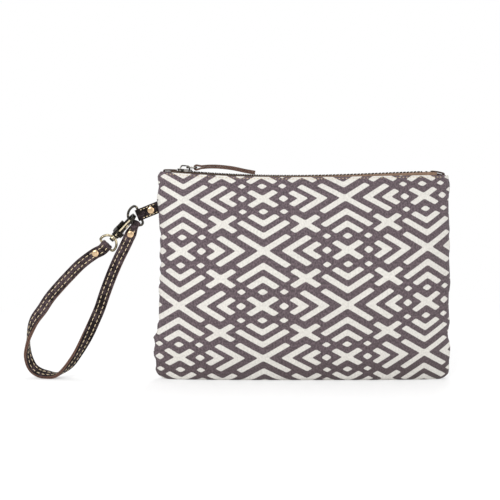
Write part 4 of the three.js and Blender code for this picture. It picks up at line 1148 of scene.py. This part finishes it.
class POUCH_OT_zip(bpy.types.Operator):
    """Make the zip's tapes, teeth, stops and leather ends"""

    bl_idname = "pouch.zip"
    bl_label = "Zip"

    def execute(self, context):
        shades = colours()
        cloth = twill_tape("zip tape", shades.zip_tape)
        metal = patchy_metal("zip teeth metal", (0.022, 0.014, 0.010), (0.13, 0.085, 0.05), 0.04, 0.4)
        for word, side in (("front", -1), ("back", 1)):
            zip_tape(word, side, cloth)
            zip_teeth(word, side, metal)
            stop = cad_copy(f"top_stop_{word}", f"zip_top_stop_{word}", metal, 0.12)
            belongs(stop, "pouch", f"zip_top_stop_{word}")
        stop = cad_copy("bottom_stop", "zip_bottom_stop", metal, 0.2)
        belongs(stop, "pouch", "zip_bottom_stop")
        looks = leather_looks("zip end", edge_share=0.35)
        thread = thread_material("zip end thread", shades.thread)
        zip_end("left", ZIP_END_LEFT_X, -1, looks, thread)
        zip_end("right", ZIP_END_RIGHT_X, 1, looks, thread)
        return {"FINISHED"}


# Slider, link and pull

def link_centre():
    start = plane(SLIDER_REST_X, zip_top(SLIDER_REST_X))
    return start + plane(LINK_CENTRE_AHEAD, LINK_CENTRE_ABOVE)


def link_points():
    """The link's line, an oblong with round corners."""
    points = []
    for step in range(LINK_STEPS):
        turn = 2 * math.pi * step / LINK_STEPS
        ahead, aside = (
            math.copysign(abs(part) ** LINK_POWER, part) for part in (math.cos(turn), math.sin(turn))
        )
        points.append(link_centre() + Vector((LINK_HALF_LENGTH * ahead, LINK_HALF_WIDTH * aside, 0)))
    return points


def slope_between(before, here, after, gap_before, gap_after):
    """The direction of a smooth curve at the middle one of three points."""
    chord = (after - before) / (gap_before + gap_after)
    return (here - before) / gap_before - chord + (after - here) / gap_after


def centripetal(points, steps):
    """Points along a smooth curve through the given ones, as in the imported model."""
    ends = [points[0] * 2 - points[1], *points, points[-1] * 2 - points[-2]]
    line = []
    for segment in range(len(points) - 1):
        quad = ends[segment:segment + 4]
        gaps = [max(1e-4, (after - before).length ** 0.5) for before, after in zip(quad, quad[1:])]
        start, finish = quad[1], quad[2]
        leave = slope_between(quad[0], quad[1], quad[2], gaps[0], gaps[1]) * gaps[1]
        arrive = slope_between(quad[1], quad[2], quad[3], gaps[1], gaps[2]) * gaps[1]
        for step in range(steps):
            t = step / steps
            line.append(
                start * (2 * t ** 3 - 3 * t ** 2 + 1) + leave * (t ** 3 - 2 * t ** 2 + t)
                + finish * (3 * t ** 2 - 2 * t ** 3) + arrive * (t ** 3 - t ** 2)
            )
    line.append(points[-1].copy())
    return line


class Track:
    """A line with its lengths, which gives the place and direction at any distance."""

    def __init__(self, line):
        self.line = line
        self.lengths = line_lengths(line)
        self.length = self.lengths[-1]

    def share_at(self, distance):
        distance = min(max(distance, 0), self.length)
        low = 0
        high = len(self.lengths) - 1
        while high - low > 1:
            middle = (low + high) // 2
            if self.lengths[middle] <= distance:
                low = middle
            else:
                high = middle
        gap = self.lengths[high] - self.lengths[low]
        return low, (distance - self.lengths[low]) / gap

    def place(self, distance):
        low, part = self.share_at(distance)
        return lerp(self.line[low], self.line[low + 1], part)

    def along(self, distance):
        reach = 0.4
        ahead = self.place(min(distance + reach, self.length))
        behind = self.place(max(distance - reach, 0))
        return (ahead - behind).normalized()


def pull_line():
    """The inner face of the pull: back along its under layer, round the link's bar, and out again."""
    arch = Track(centripetal([plane(x, z) for x, z in PULL_ARCH], 16))
    centre = link_centre() + plane(LINK_HALF_LENGTH + LINK_PLAY, 0)
    line = []

    def leg(sign, order):
        for step in order:
            distance = arch.length * step / PULL_STEPS
            along = arch.along(distance)
            line.append(arch.place(distance) + plane(-along.z, along.x) * (sign * PULL_HALF_GAP))

    leg(-1, range(PULL_STEPS, -1, -1))
    bends = 12
    radius = LINK_WIRE_RADIUS + WIRE_CLEARANCE
    for step in range(bends + 1):
        turn = -math.pi / 2 - step / bends * math.pi
        line.append(centre + plane(radius * math.cos(turn), radius * math.sin(turn)))
    leg(1, range(PULL_STEPS + 1))
    return line, arch


class POUCH_OT_slider(bpy.types.Operator):
    """Make the zip slider, its wire link and the leather pull"""

    bl_idname = "pouch.slider"
    bl_label = "Slider and pull"

    def execute(self, context):
        shades = colours()
        # The slider's and link's bright patches are partly rubbed metal and partly painted highlights.
        metal = patchy_metal(
            "slider metal", scaled(shades.zip_metal, 0.35), scaled(shades.zip_metal, 3.2), 0.14, 0.26,
        )
        slider = cad_copy("slider_body", "zip_slider", metal, 0.35, angle=30)
        belongs(slider, "slider", "zip_slider")
        link = wire("pull_link_wire", link_points(), LINK_WIRE_RADIUS, metal)
        belongs(link, "pull_link", "zip_pull_link")
        line, arch = pull_line()
        looks = [
            leather_face(
                "pull face", scaled(shades.raw_leather, 0.16), scaled(shades.raw_leather, 0.7), 0.55,
            ),
            leather_edge("pull edge", scaled(shades.raw_leather, 0.72)),
        ]

        def outward(point):
            return point - min(arch.line, key=lambda spot: (spot - point).length)

        pull = folded_strip(
            "pull_leather", line, -FORWARD, lambda _: PULL_WIDTH, PULL_LAYER, looks, outward,
        )
        belongs(pull, "pull", "zip_pull")
        return {"FINISHED"}


# Side tab, ring and rivets

def rivet(name, node, front, facing, stack, look, body):
    """A cap rivet: a domed cap, a post through the leather and a small cap behind."""
    back = -stack - RIVET_SEAT_GAP
    outline = [
        (0, back - RIVET_BACK_HEIGHT),
        (RIVET_BACK_RADIUS * 0.6, back - RIVET_BACK_HEIGHT),
        (RIVET_BACK_RADIUS * 0.86, back - RIVET_BACK_HEIGHT * 0.9),
        (RIVET_BACK_RADIUS, back - RIVET_BACK_HEIGHT * 0.5),
        (RIVET_BACK_RADIUS, back),
        (RIVET_POST_RADIUS, back),
        (RIVET_POST_RADIUS, RIVET_SEAT_GAP),
        (RIVET_CAP_RADIUS, RIVET_SEAT_GAP),
    ]
    dome = 9
    for step in range(1, dome + 1):
        turn = step / dome * math.pi / 2
        radius = 0 if step == dome else RIVET_CAP_RADIUS * math.cos(turn) ** 0.8
        outline.append((radius, RIVET_SEAT_GAP + RIVET_CAP_HEIGHT * math.sin(turn) ** 0.9))
    belongs(turned(name, outline, front, facing, look), body, node)


def ring_points(centre, out, radius, straight, corner):
    """A ring shaped like a D, as points in order."""
    across = out.cross(FORWARD).normalized()
    points = []

    def add(along, aside):
        points.append(centre + out * along + across * aside)

    arc = 40
    for step in range(arc + 1):
        turn = math.radians(-90 + 180 * step / arc)
        add(radius * math.cos(turn), radius * math.sin(turn))
    bend = 7
    for sign in (1, -1):
        for step in range(bend + 1):
            share = step / bend if sign > 0 else 1 - step / bend
            turn = share * math.pi / 2
            along = -straight + corner - corner * math.sin(turn)
            if along < -0.01:
                add(along, sign * (radius - corner + corner * math.cos(turn)))
    return points


def bar_centre():
    return RING_CENTRE - direction(RING_BULGE_ANGLE) * RING_STRAIGHT


def tab_line():
    """The inner face of the side tab: out along its front layer, round the ring's bar, and back."""
    bulge = direction(RING_BULGE_ANGLE)
    centre = bar_centre()
    leg = (BAG_CENTRE_X - BAG_HALF_WIDTH + TAB_INSIDE_BAG - centre.x) / -bulge.x
    radius = RING_WIRE_RADIUS + WIRE_CLEARANCE
    half = LAYER_GAP / 2
    steps = 14
    line = []

    def level(along):
        return lerp(radius, half, smooth(along / TAB_EASE))

    for step in range(steps + 1):
        along = leg * (1 - step / steps)
        line.append(centre - bulge * along + FORWARD * level(along))
    bends = 12
    for step in range(1, bends):
        turn = math.pi / 2 - step / bends * math.pi
        line.append(centre + bulge * (radius * math.cos(turn)) + FORWARD * (radius * math.sin(turn)))
    for step in range(steps + 1):
        along = leg * step / steps
        line.append(centre - bulge * along - FORWARD * level(along))
    return line, centre


def tab_stitch_spots(centre, leather):
    """A row of stitches along each edge of the tab, on both its faces."""
    bulge = direction(RING_BULGE_ANGLE)
    along_bar = direction(RING_BULGE_ANGLE + 90)
    level = leather + LAYER_GAP / 2 + TAB_STITCH_RAISE
    radius = RING_WIRE_RADIUS + WIRE_CLEARANCE
    spots = []
    for face in (FORWARD, -FORWARD):
        for row in (-1, 1):
            aside = along_bar * (row * (TAB_WIDTH / 2 - TAB_STITCH_FROM_EDGE))
            for step in range(TAB_STITCH_COUNT):
                along = TAB_STITCH_START + step * TAB_STITCH_PITCH
                lift = level + radius * (1 - smooth(along / TAB_EASE))
                spots.append((centre - bulge * along + aside + face * lift, bulge, face))
    return spots


class POUCH_OT_tab(bpy.types.Operator):
    """Make the leather side tab with its stitches and rivet, and the ring that it holds"""

    bl_idname = "pouch.tab"
    bl_label = "Side tab and ring"

    def execute(self, context):
        shades = colours()
        bulge = direction(RING_BULGE_ANGLE)
        along_bar = direction(RING_BULGE_ANGLE + 90)
        line, centre = tab_line()
        leather = sizes().leather_layer / MM

        def outward(point):
            return Vector((0, point.y, 0)) + bulge * max(0.0, (point - centre).dot(bulge))

        tab = folded_strip(
            "tab_leather", line, along_bar, lambda _: TAB_WIDTH, leather, leather_looks("tab"), outward,
        )
        belongs(tab, "pouch", "side_tab")
        thread = thread_material("tab thread", shades.thread)
        spots = tab_stitch_spots(centre, leather)
        stitches("tab_stitches", spots, TAB_STITCH_LENGTH, TAB_STITCH_RADIUS, thread, "pouch")
        front = centre - bulge * TAB_RIVET_FROM_BAR + FORWARD * (LAYER_GAP / 2 + leather)
        stack = 2 * leather + LAYER_GAP
        rivet("tab_rivet_cap", "tab_rivet", front, FORWARD, stack, rivet_look("tab rivet"), "pouch")
        metal = patchy_metal("ring metal", shades.dark_metal, shades.bright_metal, 0.02)
        points = ring_points(RING_CENTRE, bulge, RING_RADIUS, RING_STRAIGHT, RING_CORNER)
        ring = wire("d_ring_wire", points, RING_WIRE_RADIUS, metal, sides=12)
        belongs(ring, "ring", "d_ring")
        return {"FINISHED"}


# Hook and eye

def eye_centre():
    return HOOK_COLLAR - direction(HOOK_ANGLE) * (EYE_RADIUS + SWIVEL_CLEARANCE + EYE_BOSS_HEIGHT / 2)


def eye_boss(look):
    """The bored boss of the eye, turned with a waist and rounded lips."""
    half = EYE_BOSS_HEIGHT / 2
    bore = 1.56
    outline = [
        (bore, -half), (2.3, -half), (2.75, -half + 0.35), (2.8, -half + 0.8), (2.45, -0.25),
        (2.45, 0.25), (2.8, half - 0.8), (2.75, half - 0.3), (2.4, half), (bore, half), (bore, -half),
    ]
    up = direction(HOOK_ANGLE)
    return turned("eye_boss", outline, HOOK_COLLAR - up * (SWIVEL_CLEARANCE + half), up, look)


class POUCH_OT_hook(bpy.types.Operator):
    """Make the snap hook with its gate, and the swivel eye"""

    bl_idname = "pouch.hook"
    bl_label = "Snap hook and eye"

    def execute(self, context):
        shades = colours()
        metal = hook_metal("hook metal", scaled(shades.dark_metal, 0.5), shades.bright_metal)
        brass = patchy_metal("gate metal", scaled(shades.dark_metal, 0.8), shades.bright_metal, 0.1, 0.3)
        for name, node, look, body, width in (
            ("hook_casting", "hook_body", metal, "hook", 0.5),
            ("hook_pin", "gate_pin", brass, "hook", 0.12),
            ("hook_spring", "gate_spring", brass, "hook", 0.02),
            ("hook_gate_bar", "hook_gate", metal, "gate", 0.25),
        ):
            belongs(cad_copy(name, node, look, width), body, node)
        bright = patchy_metal(
            "eye metal", scaled(shades.bright_metal, 0.45), scaled(shades.bright_metal, 1.3), 0.12, 0.28,
        )
        points = ring_points(eye_centre(), direction(HOOK_ANGLE), EYE_RADIUS, EYE_STRAIGHT, EYE_STRAIGHT)
        ring = wire("eye_ring", points, EYE_WIRE_RADIUS, bright, sides=12)
        belongs(ring, "strap", "swivel_eye")
        belongs(eye_boss(bright), "strap")
        return {"FINISHED"}


# Wrist strap

def strap_track():
    """The strap's middle line, from the eye's bar round the loop to the ring."""
    eye_bar = eye_centre() - direction(HOOK_ANGLE) * EYE_STRAIGHT
    ring_fold = RING_CENTRE + direction(RING_FOLD_ANGLE) * RING_RADIUS
    fold_out = direction(RING_FOLD_HEADING)
    points = [
        eye_bar,
        eye_bar - direction(HOOK_ANGLE) * STRAIGHT_AT_FOLD,
        *[plane(x, z) for x, z in STRAP_ROUTE],
        ring_fold + fold_out * STRAIGHT_AT_FOLD,
        ring_fold,
    ]
    return Track(centripetal(points, 30))


class StrapFrame:
    """The strap's place, direction, outer side and width direction at a distance along its route."""

    def __init__(self, track, distance):
        share = min(1.0, max(0.0, distance / track.length))
        self.place = track.place(distance)
        self.along = track.along(distance)
        twist = math.radians(table_at(STRAP_TWIST, share))
        outward = self.along.cross(FORWARD).normalized()
        self.facing = FORWARD * math.cos(twist) + outward * math.sin(twist)
        self.across = self.along.cross(self.facing).normalized()
        taper = smooth((track.length - distance) / STRAP_TAPER_LENGTH)
        self.half = lerp(STRAP_RING_END_WIDTH, sizes().strap_width / MM, taper) / 2


def crown(aside, half):
    """How far a leather face sinks at a stitch row and rounds off towards its edge."""
    from_row = (abs(aside) - STITCH_ROW) / STITCH_GROOVE_WIDTH
    groove = STITCH_GROOVE_DEPTH * math.exp(-(from_row ** 2))
    past = (abs(aside) - half + EDGE_ROUND_WIDTH) / EDGE_ROUND_WIDTH
    return FACE_CROWN - groove - EDGE_ROUND_DEPTH * smooth(past)


def outer_rows(track, leather):
    """Rows of the outer layer's inner face: a return leg, a bend, the loop, a bend, a return leg."""
    level = leather / 2 + LAYER_GAP
    radius = RING_WIRE_RADIUS + WIRE_CLEARANCE
    rows = []
    leg_steps = 12
    bend_steps = 14

    def row(distance, sign, lift):
        here = StrapFrame(track, distance)
        rows.append((here, here.place + here.facing * lift, here.facing * sign))

    def bend(distance, sign, shift, order):
        here = StrapFrame(track, distance)
        for step in order:
            turn = math.pi / 2 - step / bend_steps * math.pi
            lift = here.along * (sign * math.cos(turn)) + here.facing * math.sin(turn)
            centre = here.place + here.along * (sign * shift)
            rows.append((here, centre + lift * radius, lift))

    def lift_near(distance):
        near = min(distance, track.length - distance)
        return lerp(radius, level, smooth(near / BEND_EASE))

    for step in range(leg_steps, -1, -1):
        distance = RETURN_LENGTH * step / leg_steps + RETURN_START
        row(distance, -1, -lift_near(distance))
    bend(0, -1, 0, range(bend_steps - 1, 0, -1))
    for step in range(STRAP_STEPS + 1):
        distance = track.length * step / STRAP_STEPS
        row(distance, 1, lift_near(distance))
    bend(track.length, 1, RING_FOLD_SHIFT, range(1, bend_steps))
    for step in range(leg_steps + 1):
        distance = track.length - RETURN_LENGTH * step / leg_steps - RETURN_START
        row(distance, -1, -lift_near(distance))
    return rows


def strap_layer(name, rows, thickness, looks):
    """A layer of the strap from rows of its inner face, each with the normal of its outer face."""
    lengths = line_lengths([place for _, place, _ in rows])
    bm = bmesh.new()
    uv_layer = bm.loops.layers.uv.new("lengths")
    bmesh.ops.create_grid(bm, x_segments=STRAP_COLUMNS, y_segments=len(rows) - 1, size=0.5)
    spots = {}
    for vert in bm.verts:
        row = round((vert.co.y + 0.5) * (len(rows) - 1))
        spots[vert] = (vert.co.x, row)
    for face in bm.faces:
        for loop in face.loops:
            aside, row = spots[loop.vert]
            loop[uv_layer].uv = (aside * 2 * rows[row][0].half * MM, lengths[row] * MM)
    for vert, (aside, row) in spots.items():
        here, place, _ = rows[row]
        vert.co = place + here.across * (aside * 2 * here.half)
    bm.normal_update()
    tops = {vert: rows[row][2] for vert, (_, row) in spots.items()}
    inner = list(bm.verts)
    made = bmesh.ops.duplicate(bm, geom=list(bm.verts) + list(bm.edges) + list(bm.faces))
    copies = made["vert_map"]
    for vert in inner:
        aside, row = spots[vert]
        half = rows[row][0].half
        copies[vert].co = vert.co + tops[vert] * (thickness + crown(aside * 2 * half, half))
    rims = [edge for edge in bm.edges if edge.is_boundary]
    sides = bmesh.ops.bridge_loops(bm, edges=rims)
    for face in sides["faces"]:
        face.material_index = 1
    bmesh.ops.recalc_face_normals(bm, faces=bm.faces)
    layer = new_object(name, bm, looks)
    soften(layer, 0.3, 60)
    return layer


def inner_rows(track, leather):
    """Rows of the inner layer's glued face, between the two bends."""
    rows = []
    for step in range(STRAP_STEPS + 1):
        distance = lerp(BEND_EASE, track.length - BEND_EASE, step / STRAP_STEPS)
        here = StrapFrame(track, distance)
        rows.append((here, here.place + here.facing * (leather / 2), -here.facing))
    return rows


def strap_stitch_spots(track, leather):
    """Two rows of stitches on the outer face, and two on the inner one."""
    pitch = sizes().stitch_pitch / MM
    outer_level = 1.5 * leather + LAYER_GAP - STRAP_STITCH_SINK
    inner_level = 0.5 * leather - STRAP_STITCH_SINK
    bend = RING_WIRE_RADIUS + WIRE_CLEARANCE - leather / 2 - LAYER_GAP
    spots = []
    for step in range(int(track.length / pitch)):
        distance = (step + 0.5) * pitch
        here = StrapFrame(track, distance)
        near = min(distance, track.length - distance)
        lift = outer_level + bend * (1 - smooth(near / BEND_EASE))
        for side in (-1, 1):
            row = here.place + here.across * (side * STITCH_ROW)
            spots.append((row + here.facing * lift, here.along, here.facing))
            if near > RETURN_LENGTH + 1:
                spots.append((row - here.facing * inner_level, here.along, -here.facing))
            elif near > 2:
                spots.append((row - here.facing * lift, here.along, -here.facing))
    return spots


class POUCH_OT_strap(bpy.types.Operator):
    """Make the two layers of the wrist strap with their stitches and rivets"""

    bl_idname = "pouch.strap"
    bl_label = "Wrist strap"

    def execute(self, context):
        shades = colours()
        leather = sizes().leather_layer / MM
        track = strap_track()
        looks = leather_looks("strap", rubbed_to_left=True)
        outer = strap_layer("strap_outer_leather", outer_rows(track, leather), leather, looks)
        inner = strap_layer("strap_inner_leather", inner_rows(track, leather), leather, looks)
        belongs(outer, "strap", "strap_outer")
        belongs(inner, "strap", "strap_inner")
        thread = thread_material("strap thread", shades.thread)
        spots = strap_stitch_spots(track, leather)
        radius = sizes().thread_radius / MM
        stitches("strap_stitches", spots, STRAP_STITCH_LENGTH, radius, thread, "strap")
        stack = 3 * leather + 2 * LAYER_GAP
        look = rivet_look("strap rivet")
        ends = (("eye_end_rivet", EYE_RIVET_AT), ("ring_end_rivet", track.length - RING_RIVET_AT))
        for name, distance in ends:
            here = StrapFrame(track, distance)
            front = here.place + here.facing * (1.5 * leather + LAYER_GAP)
            rivet(name + "_cap", name, front, here.facing, stack, look, "strap")
        return {"FINISHED"}


# Stage

PHOTO_ELEVATION = 6
PHOTO_DISTANCE = 0.85
PHOTO_TARGET = Vector((-0.045, 0, 0.1124))
PHOTO_FOCAL_PIXELS = 988.4
PHOTO_WIDTH_PIXELS = 500
SENSOR_WIDTH_MM = 36
WORLD_LEVEL = 0.55
LAMP_TARGET = Vector((0, 0, 0.09))
# Name, place, size and power of each lamp
LAMPS = (
    ("key lamp", (-0.7, -1.3, 1.1), 0.9, 16),
    ("fill lamp", (1.2, -1.2, 0.6), 1.2, 8),
    ("top lamp", (0, 0.3, 1.6), 1.0, 9),
    ("back lamp", (0.4, 1.5, 0.9), 1.0, 8),
)


def area_lamp(name, place, size, power):
    lamp = bpy.data.lights.new(name, "AREA")
    lamp.shape = "DISK"
    lamp.size = size
    lamp.energy = power
    holder = bpy.data.objects.new(name, lamp)
    holder.location = place
    holder.rotation_euler = (LAMP_TARGET - Vector(place)).to_track_quat("-Z", "Y").to_euler()
    bpy.context.scene.collection.objects.link(holder)


def floor_material():
    """A pale floor that keeps the shadow near the pouch and is plain white to the camera further off."""
    paint = Paint("floor", roughness=0.9)
    paint.set("Base Color", opaque((0.93, 0.93, 0.93)))
    place = paint.place()
    distance = paint.node("VectorMath", {"operation": "LENGTH"}, {0: place}).outputs["Value"]
    far = Value(paint, distance).between(0.22, 0.5)
    path = paint.node("LightPath")
    seen = Value(paint, path.outputs["Is Camera Ray"]).most(Value(paint, path.outputs["Is Glossy Ray"]))
    white = paint.node("Emission", None, {"Color": (1, 1, 1, 1), "Strength": 1.0})
    blend = paint.node(
        "MixShader", None,
        {0: seen * (far * 0.55 + 0.45), 1: paint.shader.outputs[0], 2: white.outputs[0]},
    )
    paint.tree.links.new(blend.outputs[0], paint.tree.nodes["Material Output"].inputs["Surface"])
    return paint.material


class POUCH_OT_stage(bpy.types.Operator):
    """Make the floor, the lamps, the white surroundings and the camera"""

    bl_idname = "pouch.stage"
    bl_label = "Stage"

    def execute(self, context):
        scene = context.scene
        bm = bmesh.new()
        bmesh.ops.create_circle(bm, cap_ends=True, segments=96, radius=3000)
        floor = new_object("floor", bm, [floor_material()])
        world = bpy.data.worlds.new("white surroundings")
        world.use_nodes = True
        tree = world.node_tree
        back = tree.nodes["Background"]
        path = tree.nodes.new("ShaderNodeLightPath")
        seen = tree.nodes.new("ShaderNodeMath")
        seen.operation = "MAXIMUM"
        tree.links.new(path.outputs["Is Camera Ray"], seen.inputs[0])
        tree.links.new(path.outputs["Is Transmission Ray"], seen.inputs[1])
        level = tree.nodes.new("ShaderNodeMapRange")
        level.inputs["To Min"].default_value = WORLD_LEVEL
        level.inputs["To Max"].default_value = 1.0
        tree.links.new(seen.outputs[0], level.inputs["Value"])
        tree.links.new(level.outputs[0], back.inputs["Strength"])
        back.inputs["Color"].default_value = (1, 1, 1, 1)
        scene.world = world
        for lamp in LAMPS:
            area_lamp(*lamp)
        camera = bpy.data.cameras.new("photo camera")
        camera.sensor_width = SENSOR_WIDTH_MM
        camera.lens = PHOTO_FOCAL_PIXELS / PHOTO_WIDTH_PIXELS * SENSOR_WIDTH_MM
        camera.clip_start = 0.02
        holder = bpy.data.objects.new("photo camera", camera)
        tilt = math.radians(PHOTO_ELEVATION)
        offset = Vector((0, -math.cos(tilt), math.sin(tilt))) * PHOTO_DISTANCE
        holder.location = PHOTO_TARGET + offset
        holder.rotation_euler = (math.pi / 2 - tilt, 0, 0)
        scene.collection.objects.link(holder)
        scene.camera = holder
        scene.view_settings.view_transform = "Standard"
        return {"FINISHED"}


STEPS = (
    POUCH_OT_panels, POUCH_OT_lining, POUCH_OT_zip, POUCH_OT_slider, POUCH_OT_tab, POUCH_OT_hook,
    POUCH_OT_strap, POUCH_OT_stage,
)


class POUCH_PT_pieces(bpy.types.Panel):
    """Lists the steps that make the pouch"""

    bl_label = "Pouch"
    bl_idname = "POUCH_PT_pieces"
    bl_space_type = "VIEW_3D"
    bl_region_type = "UI"
    bl_category = "Pouch"

    def draw(self, context):
        layout = self.layout
        for group in (context.scene.pouch_sizes, context.scene.pouch_colours):
            for name in group.__annotations__:
                layout.prop(group, name)
        for step in STEPS:
            layout.operator(step.bl_idname)


CLASSES = (PouchSizes, PouchColours, *STEPS, POUCH_PT_pieces)


def register():
    for made in CLASSES:
        bpy.utils.register_class(made)
    bpy.types.Scene.pouch_sizes = bpy.props.PointerProperty(type=PouchSizes)
    bpy.types.Scene.pouch_colours = bpy.props.PointerProperty(type=PouchColours)


def unregister():
    del bpy.types.Scene.pouch_colours
    del bpy.types.Scene.pouch_sizes
    for made in reversed(CLASSES):
        bpy.utils.unregister_class(made)


def main():
    register()
    for step in STEPS:
        family, name = step.bl_idname.split(".")
        result = getattr(getattr(bpy.ops, family), name)()
        if "FINISHED" not in result:
            raise RuntimeError(step.bl_label + " was not finished")


if __name__ == "__main__":
    main()
